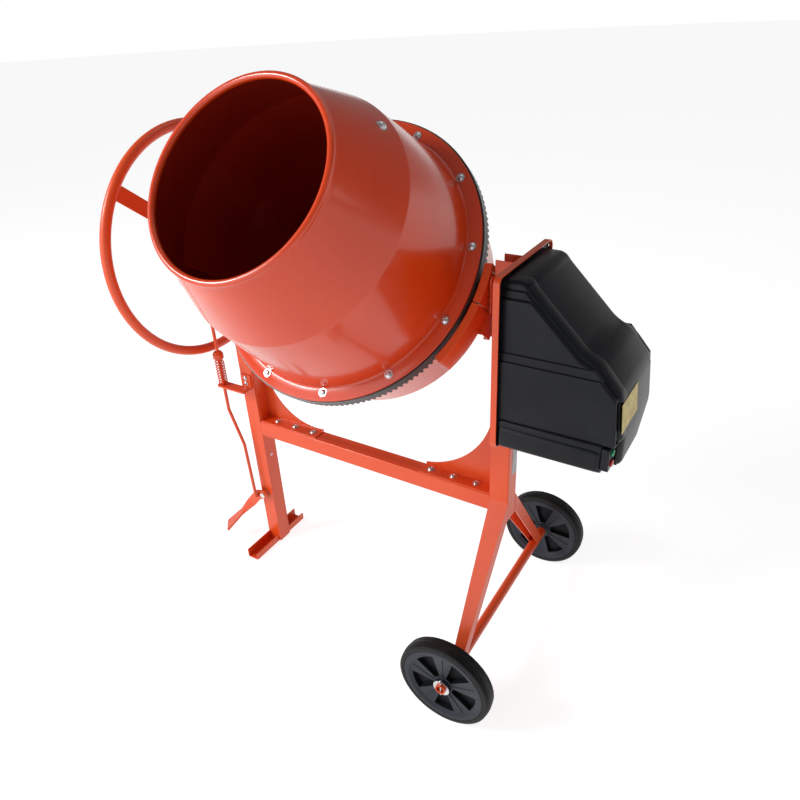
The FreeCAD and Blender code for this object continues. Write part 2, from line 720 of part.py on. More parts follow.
# ---------------------------------------------------------------------------------------------
# Bearings of the tilting yoke, in the two posts
# ---------------------------------------------------------------------------------------------
def yoke_bearing(label, side, shaft):
    """A square plate over the post's open side, with a tube that reaches the post's back."""
    piece = stand(body(label), x=side * (POSTS_X - SHEET), z=S.pivot_height)
    plate_line = sketch(piece, "YZ_Plane")
    box_outline(plate_line, -42, -42, 42, 42)
    pad(piece, plate_line, SHEET, reverse=side < 0)
    round_edges(piece, 8, runs_along(X_AXIS))
    tube_line = sketch(piece, "YZ_Plane")
    circle(tube_line, 0, 0, HALF_POST - SHEET - 0.5)
    pad(piece, tube_line, S.post_size, reverse=side < 0)
    bore = sketch(piece, "YZ_Plane")
    circle(bore, 0, 0, shaft + S.running_gap)
    pocket(piece, bore, S.post_size * 3, both_ways=True)


yoke_bearing("left_bearing", -1, S.left_trunnion_radius)
yoke_bearing("right_bearing", 1, S.right_trunnion_radius)


# ---------------------------------------------------------------------------------------------
# Drum
# ---------------------------------------------------------------------------------------------
def shell_line(points, thickness):
    """Offsets a profile given from top to bottom inwards, and closes it into a thin section."""
    inner = []
    for k, (radius, height) in enumerate(points):
        before = points[max(k - 1, 0)]
        after = points[min(k + 1, len(points) - 1)]
        run = size(after[0]).value - size(before[0]).value
        fall = size(before[1]).value - size(after[1]).value
        length = math.hypot(run, fall)
        inner.append((radius - thickness * (fall / length), height - thickness * (run / length)))
    return list(points) + inner[::-1]


DRUM = S.drum_sheet
cone = lean(body("drum_upper"))
section = sketch(cone, "XZ_Plane")
neck = S.mouth_height - S.bead_radius + 2.2
outline(section, [
    (S.mouth_radius + DRUM / 2, neck), (S.shoulder_radius, S.shoulder_height),
    (S.wall_radius, S.flange_height + DRUM), (S.flange_radius, S.flange_height + DRUM),
    (S.flange_radius, S.flange_height), (S.wall_radius - DRUM, S.flange_height),
    (S.shoulder_radius - DRUM * 1.1, S.shoulder_height - DRUM * 0.3),
    (S.mouth_radius - DRUM / 2, neck)])
revolve(cone, section)
bead = sketch(cone, "XZ_Plane")
circle(bead, S.mouth_radius, S.mouth_height, S.bead_radius)
circle(bead, S.mouth_radius, S.mouth_height, S.bead_radius - DRUM)
revolve(cone, bead)
BOLT_HOLE = S.bolt_radius + S.bolt_gap
hole = sketch(cone, "XY_Plane", away=S.flange_height - 1)
circle(hole, S.flange_bolt_circle * cosine(S.flange_bolt_start),
       S.flange_bolt_circle * sine(S.flange_bolt_start), BOLT_HOLE)
drilled = pocket(cone, hole, DRUM + 2, reverse=True)
ring_of(cone, drilled, S.flange_bolt_count)

LOWER_TOP = S.flange_height
bowl = lean(body("drum_lower"))
section = sketch(bowl, "XZ_Plane")
outline(section, [
    (S.wall_radius - DRUM, LOWER_TOP), (S.flange_radius, LOWER_TOP),
    (S.flange_radius, LOWER_TOP - DRUM), (S.wall_radius, LOWER_TOP - DRUM),
    (S.heel_radius, -S.heel_depth), (S.floor_radius, -S.floor_depth),
    (0, -S.floor_depth), (0, DRUM - S.floor_depth),
    (S.floor_radius - DRUM / 2, DRUM - S.floor_depth),
    (S.heel_radius - DRUM, DRUM / 2 - S.heel_depth)])
revolve(bowl, section)
hole = sketch(bowl, "XY_Plane", away=LOWER_TOP - DRUM - 1)
circle(hole, S.flange_bolt_circle * cosine(S.flange_bolt_start),
       S.flange_bolt_circle * sine(S.flange_bolt_start), BOLT_HOLE)
drilled = pocket(bowl, hole, DRUM + 2, reverse=True)
ring_of(bowl, drilled, S.flange_bolt_count)

# Ring gear: face teeth that point down from a flat ring, cast in equal segments.
GEAR_TOP = (LOWER_TOP - DRUM).value
ROOT, TIP = S.ring_root.value, S.tooth_tip.value
INNER, OUTER = S.ring_inner.value, S.ring_outer.value
pitch_angle = 360 / S.ring_teeth.value
blank = Part.makeCylinder(OUTER, GEAR_TOP - TIP, Vector(0, 0, TIP))
blank = blank.cut(Part.makeCylinder(INNER, GEAR_TOP - TIP, Vector(0, 0, TIP)))
joint = 0.25
per_segment = round(S.ring_teeth.value / S.ring_segments.value)
slot = Part.makePolygon([
    Vector(INNER - 4, -4.9, TIP - 0.01), Vector(INNER - 4, 4.9, TIP - 0.01),
    Vector(INNER - 4, 2.7, ROOT), Vector(INNER - 4, -2.7, ROOT), Vector(INNER - 4, -4.9, TIP - 0.01)])
slot = Part.Face(slot).extrude(Vector(OUTER - INNER + 8, 0, 0))
sector = 360 / S.ring_segments.value
quarter = Part.Face(Part.makePolygon([
    Vector(0, 0, TIP), Vector(2 * OUTER, 0, TIP),
    Vector(2 * OUTER, 2 * OUTER * math.tan(math.radians(min(sector, 89.99) / 2)), TIP),
    Vector(2 * OUTER * math.cos(math.radians(sector)), 2 * OUTER * math.sin(math.radians(sector)), TIP),
    Vector(0, 0, TIP)]))
quarter = quarter.extrude(Vector(0, 0, GEAR_TOP - TIP))
segment = blank.common(quarter)
slots = [slot.transformed(turned(k * pitch_angle).toMatrix()) for k in range(per_segment + 1)]
ends = [
    Part.makeBox(OUTER, 2 * joint, GEAR_TOP, Vector(0, -joint, 0)).transformed(turned(a).toMatrix())
    for a in (0, sector)]
segment = segment.cut(Part.makeCompound(slots))
segment = segment.cut(Part.makeCompound(ends))
segments = []
for k in range(round(S.ring_segments.value)):
    piece = segment.transformed(turned(k * sector).toMatrix())
    segments.append(piece)
bolt_angles = [
    S.flange_bolt_start.value + k * 360 / S.flange_bolt_count.value
    for k in range(round(S.flange_bolt_count.value))]
CIRCLE_R = S.flange_bolt_circle.value
sockets = Part.makeCompound([
    Part.makeCylinder(
        BOLT_HOLE.value, 13.5,
        turned(a).multVec(Vector(CIRCLE_R, 0, GEAR_TOP - 13))) for a in bolt_angles])
gear = Part.makeCompound([piece.cut(sockets) for piece in segments])
solid_of("ring_gear", gear, leaned())

flange_screw = machine_screw(
    S.bolt_head_radius.value, S.bolt_head.value, S.bolt_radius.value,
    (S.flange_height + DRUM).value - GEAR_TOP + 12)
flange_screws = [
    flange_screw.transformed(
        turned(a).multiply(Placement(Vector(CIRCLE_R, 0, (S.flange_height + DRUM).value), Rotation()))
        .toMatrix()) for a in bolt_angles]
solid_of("flange_bolts", Part.makeCompound(flange_screws), leaned())

# Mixing paddles: a blade that stands off the wall, with a bent foot on the cone and one on the bowl.
PADDLE_TURNS = (45, 225)
UPPER_BOLT, LOWER_BOLT = 327, -60
BLADE = 4
neck_run = (S.shoulder_radius - S.mouth_radius) / (neck - S.shoulder_height)
bowl_run = (S.wall_radius - S.heel_radius) / (S.flange_height + S.heel_depth)


def cone_at(height):
    """Outer radius of the drum's cone at a height."""
    return S.shoulder_radius - (height - S.shoulder_height) * neck_run


def bowl_at(height):
    """Outer radius of the drum's bowl at a height."""
    return S.wall_radius - (S.flange_height - height) * bowl_run


OFF = DRUM + 1
for letter, turn in zip("ab", PADDLE_TURNS):
    paddle = lean(body(f"mixing_paddle_{letter}"), turn=turn)
    blade = sketch(paddle, "XZ_Plane")
    outline(blade, [
        (cone_at(349) - OFF - BLADE, 349), (cone_at(305) - OFF - BLADE, 305),
        (bowl_at(60) - 24, 75), (bowl_at(-38) - OFF - BLADE, -38), (bowl_at(-82) - OFF - BLADE, -82),
        (bowl_at(-82) - 72, -92), (cone_at(349) - 34, 352, -1200)])
    pad(paddle, blade, BLADE, both_ways=True)
    for low, high, wall_at in ((305, 349, cone_at), (-82, -38, bowl_at)):
        tab = sketch(paddle, "XZ_Plane")
        outline(tab, [
            (wall_at(low) - OFF, low), (wall_at(high) - OFF, high),
            (wall_at(high) - OFF - BLADE, high), (wall_at(low) - OFF - BLADE, low)])
        pad(paddle, tab, 36, both_ways=True)


def wall_screws(height, wall_at, slope):
    """Screws through the drum's wall, one for each paddle, square to the wall."""
    outward = Vector(1, 0, slope).normalize()
    seat = Vector(wall_at(height).value, 0, height)
    for turn in PADDLE_TURNS:
        about = turned(turn)
        aim = about.multVec(outward)
        yield about.multVec(seat), aim


paddle_screw = machine_screw(9, 6.5, 5, 24)
paddle_screws = []
for owner, height, wall_at, slope in (
        (cone, UPPER_BOLT, cone_at, neck_run.value), (bowl, LOWER_BOLT, bowl_at, -bowl_run.value)):
    for seat, aim in wall_screws(height, wall_at, slope):
        drill(owner, 5.25, 30, seat - aim * 15, aim)
        place = Placement(seat + aim * 0.6, Rotation(Z_AXIS, aim))
        paddle_screws.append(paddle_screw.transformed(place.toMatrix()))
for letter, turn in zip("ab", PADDLE_TURNS):
    paddle = doc.getObject(f"mixing_paddle_{letter}")
    for height, wall_at, slope in (
            (UPPER_BOLT, cone_at, neck_run.value), (LOWER_BOLT, bowl_at, -bowl_run.value)):
        outward = Vector(1, 0, slope).normalize()
        seat = Vector(wall_at(height).value, 0, height)
        drill(paddle, 5.25, 30, seat - outward * 30, outward)
solid_of("paddle_bolts", Part.makeCompound(paddle_screws), leaned())

# Hub and bearings under the drum
BEARING_GAP = 6
FIRST_BEARING = -S.floor_depth - 18
LAST_BEARING = FIRST_BEARING - S.bearing_width * 2 - BEARING_GAP
hub = lean(body("drum_hub"))
section = sketch(hub, "XZ_Plane")
outline(section, [
    (0, -S.floor_depth), (0, -S.floor_depth - 10), (S.bearing_outer, -S.floor_depth - 10),
    (S.bearing_outer, LAST_BEARING - 7), (S.hub_tube_radius, LAST_BEARING - 7),
    (S.hub_tube_radius, -S.floor_depth - 8), (S.hub_flange_radius, -S.floor_depth - 8),
    (S.hub_flange_radius, -S.floor_depth)])
revolve(hub, section)

bearings = []
bearing_middle = (S.spindle_radius.value + S.bearing_outer.value) / 2
for top in (FIRST_BEARING.value, FIRST_BEARING.value - S.bearing_width.value - BEARING_GAP):
    low = top - S.bearing_width.value
    race = Part.makeCylinder(S.bearing_outer.value, S.bearing_width.value, Vector(0, 0, low))
    race = race.cut(Part.makeCylinder(
        S.spindle_radius.value + S.running_gap.value, S.bearing_width.value, Vector(0, 0, low)))
    for level in (low - 1, top - 1.2):
        seal = Part.makeCylinder(bearing_middle + 5, 2.2, Vector(0, 0, level))
        seal = seal.cut(Part.makeCylinder(bearing_middle - 4, 2.2, Vector(0, 0, level)))
        race = race.cut(seal)
    bearings.append(race)
solid_of("spindle_bearings", Part.makeCompound(bearings), leaned())


# ---------------------------------------------------------------------------------------------
# Tilting yoke
# ---------------------------------------------------------------------------------------------
yoke = lean(body("yoke_frame"))
section = sketch(yoke, "XZ_Plane")
ARM_IN = S.arm_reach
ARM_OUT = S.arm_reach + S.arm_sheet
LOW_IN = S.yoke_depth
LOW_OUT = S.yoke_depth + S.arm_sheet
BEND_IN = S.yoke_bend
BEND_OUT = S.yoke_bend + S.arm_sheet
outline(section, [
    (-ARM_OUT, S.arm_rise), (-ARM_OUT, BEND_OUT - LOW_OUT), (BEND_OUT - ARM_OUT, -LOW_OUT, BEND_OUT),
    (ARM_OUT - BEND_OUT, -LOW_OUT), (ARM_OUT, BEND_OUT - LOW_OUT, BEND_OUT), (ARM_OUT, S.arm_rise),
    (ARM_IN, S.arm_rise), (ARM_IN, BEND_IN - LOW_IN), (ARM_IN - BEND_IN, -LOW_IN, -BEND_IN),
    (BEND_IN - ARM_IN, -LOW_IN), (-ARM_IN, BEND_IN - LOW_IN, -BEND_IN), (-ARM_IN, S.arm_rise)])
pad(yoke, section, S.arm_width, both_ways=True)
round_edges(yoke, 18, lambda e: runs_along(X_AXIS)(e) and e.Vertexes[0].Z > 0 and e.Length < 20)
drill(yoke, S.spindle_radius, 40, Vector(0, 0, -LOW_OUT.value - 10), Z_AXIS)
drill(yoke, S.right_trunnion_radius, 40, Vector(ARM_IN.value - 10, 0, 0), X_AXIS)

PLATE_FACE = POSTS_X - SHEET
left_trunnion = lean(body("left_trunnion"))
shoulder_end = PLATE_FACE + S.drum_shift - S.close_gap
section = sketch(left_trunnion, "YZ_Plane", away=-ARM_OUT)
circle(section, 0, 0, S.left_trunnion_radius)
pad(left_trunnion, section, HANDWHEEL_X + 22 + S.drum_shift - ARM_OUT, reverse=True)
shoulder = sketch(left_trunnion, "YZ_Plane", away=-ARM_OUT)
circle(shoulder, 0, 0, 24)
pad(left_trunnion, shoulder, shoulder_end - ARM_OUT, reverse=True)

right_trunnion = lean(body("right_trunnion"))
TRUNNION_END = POSTS_X + S.post_size + 11 - S.drum_shift
section = sketch(right_trunnion, "YZ_Plane", away=ARM_IN - 2)
circle(section, 0, 0, S.right_trunnion_radius)
pad(right_trunnion, section, TRUNNION_END - ARM_IN + 2)
shoulder = sketch(right_trunnion, "YZ_Plane", away=ARM_OUT)
circle(shoulder, 0, 0, 24)
pad(right_trunnion, shoulder, PLATE_FACE - S.drum_shift - S.close_gap - ARM_OUT)
bore = sketch(right_trunnion, "YZ_Plane", away=ARM_IN - 3)
circle(bore, 0, 0, S.trunnion_bore)
pocket(right_trunnion, bore, 120, reverse=True)

bush_bore = S.shaft_radius.value + S.running_gap.value
bushes = Part.makeCompound([
    tube(S.trunnion_bore.value, bush_bore, 24, Vector(start, 0, 0), X_AXIS)
    for start in (ARM_IN.value, TRUNNION_END.value - 25)])
solid_of("shaft_bushes", bushes, leaned())

spindle = lean(body("drum_spindle"))
section = sketch(spindle, "XZ_Plane")
top = -S.floor_depth - 12
nut = -LOW_OUT - 18
outline(section, [
    (0, top), (0, nut - 5), (11, nut - 5), (11, nut), (22, nut), (22, -LOW_OUT),
    (S.spindle_radius, -LOW_OUT), (S.spindle_radius, -LOW_IN), (20, -LOW_IN),
    (20, LAST_BEARING - S.close_gap), (S.spindle_radius, LAST_BEARING - S.close_gap),
    (S.spindle_radius, top)])
revolve(spindle, section)
flats = sketch(spindle, "XY_Plane", away=nut - 1)
outline(flats, [(18, -40), (40, -40), (40, 40), (18, 40)])
flat = pocket(spindle, flats, 19, reverse=True)
ring_of(spindle, flat, Size(6))


def guard(label, from_angle, to_angle):
    """One piece of the gear guard, between two angles about the drum's axis."""
    piece = lean(body(label), turn=from_angle)
    section = sketch(piece, "XZ_Plane")
    sheet_size = S.guard_sheet
    outline(section, [
        (S.guard_inner, S.guard_top - sheet_size), (S.guard_outer - sheet_size, S.guard_top - sheet_size),
        (S.guard_outer - sheet_size, S.guard_top - S.guard_skirt),
        (S.guard_outer, S.guard_top - S.guard_skirt), (S.guard_outer, S.guard_top),
        (S.guard_inner, S.guard_top)])
    shape = revolve(piece, section)
    shape.Angle = to_angle - from_angle
    return piece


guard("gear_guard_lower", S.guard_low_angle.value, S.guard_joint_angle.value - 0.2)
upper_start = S.guard_joint_angle.value + 0.2
upper_guard = guard("gear_guard_upper", upper_start, S.guard_high_angle.value)
outward = turned(-upper_start).multVec(X_AXIS)
drill(upper_guard, 25.5, 60, outward * (S.guard_outer.value - 40), outward)

ARM_X = ARM_OUT.value
shelf_level = S.guard_top.value - S.guard_skirt.value
plate = Part.makeBox(3, 78, 45, Vector(ARM_X, -104, shelf_level - 45))
shelf = Part.makeBox(26, 60, 2.5, Vector(ARM_X - 23, -104, shelf_level - 2.5))
lower_lip = Part.makeBox(14, 78, 3, Vector(ARM_X - 11, -104, shelf_level - 45))
lower_lip = lower_lip.cut(Part.makeBox(20, 80, 10, Vector(ARM_X - 14, -35.3, shelf_level - 50)))
guard_parts = [plate.fuse(shelf).fuse(lower_lip).removeSplitter()]
guard_wall = S.guard_outer.value - S.guard_sheet.value
for across in (-29, 29):
    spacer = 6
    gap_end = math.sqrt(guard_wall ** 2 - (abs(across) + spacer) ** 2) - 0.1
    spot = Vector(ARM_X, across, 20)
    guard_parts.append(rod(spacer, gap_end - ARM_X, spot, X_AXIS))
    face = math.sqrt(S.guard_outer.value ** 2 - across ** 2) + 0.5
    guard_parts.append(rod(5.5, 2, Vector(face, across, 20), X_AXIS))
for level in (-16, -37):
    guard_parts.append(rod(5, 2.2, Vector(ARM_X + 3, -45, level), X_AXIS))
solid_of("guard_bracket", Part.makeCompound(guard_parts), leaned())

rim = body("handwheel_rim")
stand(rim, x=-HANDWHEEL_X, z=S.pivot_height)
rim.Placement.Rotation = Rotation(Y_AXIS, 90)
section = sketch(rim, "XZ_Plane")
circle(section, S.handwheel_radius, 0, S.rim_radius)
circle(section, S.handwheel_radius, 0, S.rim_radius - 2.5)
revolve(rim, section)

bar = lean(body("handwheel_spoke"))
WHEEL_AT = -HANDWHEEL_X - S.drum_shift
half_bar = S.handwheel_radius - S.rim_radius
section = sketch(bar, "YZ_Plane", away=WHEEL_AT)
box_outline(section, -S.spoke_width / 2, -half_bar, S.spoke_width / 2, half_bar)
pad(bar, section, S.spoke_sheet, both_ways=True)
boss = sketch(bar, "YZ_Plane", away=WHEEL_AT)
circle(boss, 0, 0, S.left_trunnion_radius + 7)
pad(bar, boss, 28, both_ways=True)
bore = sketch(bar, "YZ_Plane", away=WHEEL_AT)
circle(bore, 0, 0, S.left_trunnion_radius)
pocket(bar, bore, 60, both_ways=True)

disc = lean(body("lock_disc"))
DISC_AT = -LOCK_X - S.drum_shift
section = sketch(disc, "YZ_Plane", away=DISC_AT)
circle(section, 0, 0, S.lock_disc_radius)
circle(section, 0, 0, S.left_trunnion_radius)
pad(disc, section, S.lock_disc_sheet, both_ways=True)
boss = sketch(disc, "YZ_Plane", away=DISC_AT)
circle(boss, 0, 0, S.left_trunnion_radius + 7)
circle(boss, 0, 0, S.left_trunnion_radius)
pad(disc, boss, 20)
rod_angle = math.degrees(math.atan2(
    ROD_TOP.value - S.pivot_height.value, -S.rod_forward.value)) - S.tilt.value
for step in (-80, -50, -20, 20, 50, 80, 110):
    aim = Vector(0, math.cos(math.radians(rod_angle + step)), math.sin(math.radians(rod_angle + step)))
    start = Vector(DISC_AT.value - 20, 0, 0) + aim * (S.lock_disc_radius.value - 2)
    drill(disc, S.rod_radius + 1, 40, start, X_AXIS)


# ---------------------------------------------------------------------------------------------
# Drive: pinion, shaft, pulleys, belt, motor
# ---------------------------------------------------------------------------------------------
PINION_X = S.ring_inner + 1
PINION_FACE = S.ring_outer - S.ring_inner - 1
pinion = lean(body("pinion"))
section = sketch(pinion, "YZ_Plane", away=PINION_X)
circle(section, 0, 0, S.pinion_root)
circle(section, 0, 0, S.shaft_radius)
pad(pinion, section, PINION_FACE)
tooth = sketch(pinion, "YZ_Plane", away=PINION_X)
outline(tooth, [
    (-3.3, S.pinion_root - 0.6), (3.3, S.pinion_root - 0.6),
    (1.5, S.pinion_tip), (-1.5, S.pinion_tip)])
tooth_pad = pad(pinion, tooth, PINION_FACE)
teeth = pinion.newObject("PartDesign::PolarPattern", "pinion_teeth")
teeth.Originals = [tooth_pad]
teeth.Axis = (plane(pinion, "X_Axis"), "")
teeth.Angle = 360
teeth.Occurrences = round(S.pinion_teeth.value)
teeth.setExpression("Occurrences", S.pinion_teeth.text)
pinion.Tip = teeth

PLATE_OUT = POSTS_X + S.post_size
RIM_X = PLATE_OUT + S.plate_rim
PULLEY_X = RIM_X + S.pulley_offset
shaft = lean(body("pinion_shaft"))
section = sketch(shaft, "YZ_Plane", away=PINION_X - 6)
circle(section, 0, 0, S.shaft_radius)
pad(shaft, section, PULLEY_X + S.pulley_width + 4 - S.drum_shift - PINION_X + 6)
round_edges(shaft, 1.2, lambda e: e.Curve.TypeId == "Part::GeomCircle")


def pulley(label, height, radius, bore, hub_radius):
    """A flat belt pulley with two flanges, turned about a shaft along X."""
    piece = stand(body(label), x=PULLEY_X, z=height)
    piece.Placement.Rotation = Rotation(Y_AXIS, 90)
    section = sketch(piece, "XZ_Plane")
    wide = S.pulley_width
    edge = radius + S.belt_thickness + 1
    outline(section, [
        (bore, 0), (edge, 0), (edge, 1.6), (radius, 1.9), (radius, wide - 1.9), (edge, wide - 1.6),
        (edge, wide), (radius - 6, wide), (radius - 6, wide / 2 + 2), (hub_radius, wide / 2 + 2),
        (hub_radius, wide), (bore, wide)] if hub_radius.value < radius.value - 8 else [
        (bore, 0), (edge, 0), (edge, 1.6), (radius, 1.9), (radius, wide - 1.9), (edge, wide - 1.6),
        (edge, wide), (bore, wide)])
    revolve(piece, section)


pulley("large_pulley", S.pivot_height, S.pulley_radius, S.shaft_radius, S.shaft_radius + 9)
pulley("motor_pulley", S.motor_height, S.motor_pulley_radius, S.motor_shaft_radius,
       S.motor_pulley_radius)

big = S.pulley_radius.value + S.close_gap.value
small = S.motor_pulley_radius.value + S.close_gap.value
between = S.pivot_height.value - S.motor_height.value


def belt_face(extra):
    """The area inside an open belt run round both pulleys, with the smaller one at the origin."""
    lean_angle = math.asin((big - small) / between)
    side = Vector(0, math.cos(lean_angle), -math.sin(lean_angle))
    corners = []
    for radius, height in ((small + extra, 0), (big + extra, between)):
        centre = Vector(0, 0, height)
        corners.append((centre + side * radius, centre + Vector(0, -side.y, side.z) * radius))
    (low_right, low_left), (high_right, high_left) = corners
    over = Part.Arc(high_right, Vector(0, 0, between + big + extra), high_left).toShape()
    under = Part.Arc(low_left, Vector(0, 0, -small - extra), low_right).toShape()
    runs = [Part.makeLine(high_left, low_left), Part.makeLine(low_right, high_right)]
    return Part.Face(Part.Wire([over, runs[0], under, runs[1]]))


belt_width = S.pulley_width.value - 5
belt = belt_face(S.belt_thickness.value - 0.5).cut(belt_face(0.0))
belt = belt.extrude(Vector(belt_width, 0, 0))
solid_of("drive_belt", belt, Placement(
    Vector((S.middle_x + PULLEY_X).value + 2.5, S.middle_y.value, S.motor_height.value), Rotation()))

MOTOR_X = PULLEY_X + S.pulley_width + 13


def motor_place(piece):
    """Puts a turned piece on the motor's axis, with its own upright axis along X."""
    stand(piece, x=MOTOR_X, z=S.motor_height)
    piece.Placement.Rotation = Rotation(Y_AXIS, 90)
    return piece


housing = motor_place(body("motor_housing"))
section = sketch(housing, "XZ_Plane")
shaft_bore = S.motor_shaft_radius + S.running_gap
long = S.motor_length
outline(section, [
    (shaft_bore, 0), (S.motor_radius - 6, 0), (S.motor_radius, 6), (S.motor_radius, long - 12),
    (S.motor_radius - 10, long), (0, long), (0, long - 6), (S.motor_bore, long - 6),
    (S.motor_bore, 8), (shaft_bore, 8)])
revolve(housing, section)
fins = sketch(housing, "XY_Plane", away=12)
box_outline(fins, S.motor_radius - 2.5, -1.6, S.motor_radius + 3, 1.6)
fin_cut = pocket(housing, fins, long - 34, reverse=True)
ring_of(housing, fin_cut, Size(24))

rotor = motor_place(body("motor_rotor"))
section = sketch(rotor, "XZ_Plane")
outline(section, [
    (0, -S.pulley_width - 12), (S.motor_shaft_radius, -S.pulley_width - 12),
    (S.motor_shaft_radius, 24), (S.motor_bore - 0.4, 24), (S.motor_bore - 0.4, long - 30),
    (S.motor_shaft_radius, long - 30), (S.motor_shaft_radius, long - 7), (0, long - 7)])
revolve(rotor, section)

bracket = stand(body("motor_bracket"), x=PLATE_OUT + S.plate_sheet, z=S.motor_height)
reach = MOTOR_X - PLATE_OUT - S.plate_sheet
face = sketch(bracket, "YZ_Plane", away=reach - 4)
box_outline(face, -58, -66, 58, 66)
pad(bracket, face, 4)
for side in (-1, 1):
    cheek = sketch(bracket, "YZ_Plane")
    box_outline(cheek, side * 58, -66, side * 54, 66)
    pad(bracket, cheek, reach)
    lip = sketch(bracket, "YZ_Plane")
    box_outline(lip, side * 54, -66, side * 74, 66)
    pad(bracket, lip, 4)
opening = sketch(bracket, "YZ_Plane", away=reach - 5)
circle(opening, 0, 0, S.motor_shaft_radius + 9)
pocket(bracket, opening, 10, reverse=True)


# ---------------------------------------------------------------------------------------------
# Backplate, cover and switches
# ---------------------------------------------------------------------------------------------
HALF_PLATE = S.plate_width / 2
SCREW_ROWS = (15, 173, 333)
backplate = stand(body("backplate"), x=PLATE_OUT)


def plate_shape(owner, inset, start, length, cut):
    """Adds or cuts a rounded plate, smaller than the backplate by an inset, from a level on."""
    drawing = sketch(owner, "YZ_Plane", away=start)
    low_y, high_y = inset - HALF_PLATE, HALF_PLATE - inset
    low_z, high_z = PLATE_BOTTOM + inset, PLATE_TOP - inset
    radius = 18 - inset
    outline(drawing, [
        (low_y, low_z + radius), (low_y + radius, low_z, radius), (high_y - radius, low_z),
        (high_y, low_z + radius, radius), (high_y, high_z - radius),
        (high_y - radius, high_z, radius), (low_y + radius, high_z),
        (low_y, high_z - radius, radius)])
    if cut:
        return pocket(owner, drawing, length, reverse=True)
    return pad(owner, drawing, length)


plate_shape(backplate, size(0), 0, S.plate_rim, False)
plate_shape(backplate, S.plate_sheet, S.plate_sheet, S.plate_rim, True)
opening = sketch(backplate, "YZ_Plane")
circle(opening, 0, S.pivot_height, S.right_trunnion_radius + 1)
pocket(backplate, opening, 20, both_ways=True)

COVER_X = PLATE_OUT + S.plate_sheet
DEPTH = S.cover_depth + S.plate_rim - S.plate_sheet
HALF_COVER = HALF_PLATE - S.cover_inset
COVER_LOW = PLATE_BOTTOM + 6


def cover_profile(gap):
    """Side outline of the cover as x from the backplate and height, moved inwards by a gap."""
    points = [
        (size(0), COVER_LOW), (DEPTH, COVER_LOW), (DEPTH, PLATE_TOP - 311),
        (DEPTH * 0.971, PLATE_TOP - 220), (DEPTH * 0.785, PLATE_TOP - 160),
        (DEPTH * 0.668, PLATE_TOP - 145), (DEPTH * 0.259, PLATE_TOP - 31),
        (DEPTH * 0.208, PLATE_TOP - 9), (size(0), PLATE_TOP - 11)]
    moved = []
    for k, (x, z) in enumerate(points):
        directions = []
        for one, two in ((points[k - 1], points[k]), (points[k], points[(k + 1) % len(points)])):
            dx, dz = two[0].value - one[0].value, two[1].value - one[1].value
            length = math.hypot(dx, dz)
            directions.append((-dz / length, dx / length))
        (ax, az), (bx, bz) = directions
        stretch = 1 + ax * bx + az * bz
        moved.append((x + gap * ((ax + bx) / stretch), z + gap * ((az + bz) / stretch)))
    return moved


def cover_block(label, gap):
    """The cover's outside (gap = 0) or its hollow (gap = its wall), as one solid."""
    piece = stand(body(label), x=COVER_X)
    hollow = gap.value > 0
    drawing = sketch(piece, "XZ_Plane")
    points = cover_profile(gap)
    if hollow:
        points[0] = (size(-1), points[0][1])
        points[-1] = (size(-1), points[-1][1])
    outline(drawing, points)
    pad(piece, drawing, (HALF_COVER - gap) * 2, both_ways=True)
    # the rear lower edge is cut off slanting
    slant = sketch(piece, "YZ_Plane", away=-2)
    back = HALF_COVER - gap
    low = COVER_LOW + gap
    outline(slant, [(back + 1, low - 1), (back + 1, low + 74), (back - 100, low - 1)])
    pocket(piece, slant, DEPTH + 4, reverse=True)
    round_edges(piece, 10 - gap, lambda e: max(v.X for v in e.Vertexes) > 1)
    return piece


NOTCH = 34
NOTCH_TOP = COVER_LOW + 68
NOTCH_X = DEPTH * 0.885
outside = cover_block("cover_outside", size(0))
inside = cover_block("cover_inside", S.cover_wall)
for block, gap in ((outside, size(0)), (inside, S.cover_wall)):
    corner = sketch(block, "XZ_Plane", away=HALF_COVER - NOTCH - gap)
    box_outline(corner, NOTCH_X - gap, COVER_LOW - 1, DEPTH + 2, NOTCH_TOP + gap)
    pocket(block, corner, 60, reverse=True)
step = sketch(outside, "XZ_Plane", away=HALF_COVER - 10)
box_outline(step, S.plate_rim - S.plate_sheet + 1, COVER_LOW + 4, NOTCH_X, COVER_LOW + 60)
pad(outside, step, 22)
plate_shape(outside, S.plate_sheet + 0.5, 0, 3, False)
for across in (-1, 1):
    for fall in SCREW_ROWS:
        seat = Vector(-1, across * (HALF_PLATE.value - 8), PLATE_TOP.value - fall)
        drill(outside, 2.3, 6, seat, X_AXIS)
cover = doc.addObject("Part::Cut", "motor_cover")
cover.Label = "motor_cover"
cover.Base = outside
cover.Tool = inside

screw = machine_screw(3.8, 3.2, 2.1, 5, washer=False)
SCREW_X = (S.middle_x + COVER_X).value + 3
cover_screws = []
for across in (-1, 1):
    for fall in SCREW_ROWS:
        spot = Vector(SCREW_X, S.middle_y.value + across * (HALF_PLATE.value - 8), PLATE_TOP.value - fall)
        cover_screws.append(screw.transformed(Placement(spot, Rotation(Z_AXIS, X_AXIS)).toMatrix()))
        drill(backplate, 2.3, 6, Vector(-1, spot.y - S.middle_y.value, spot.z), X_AXIS)
solid_of("cover_screws", Part.makeCompound(cover_screws))

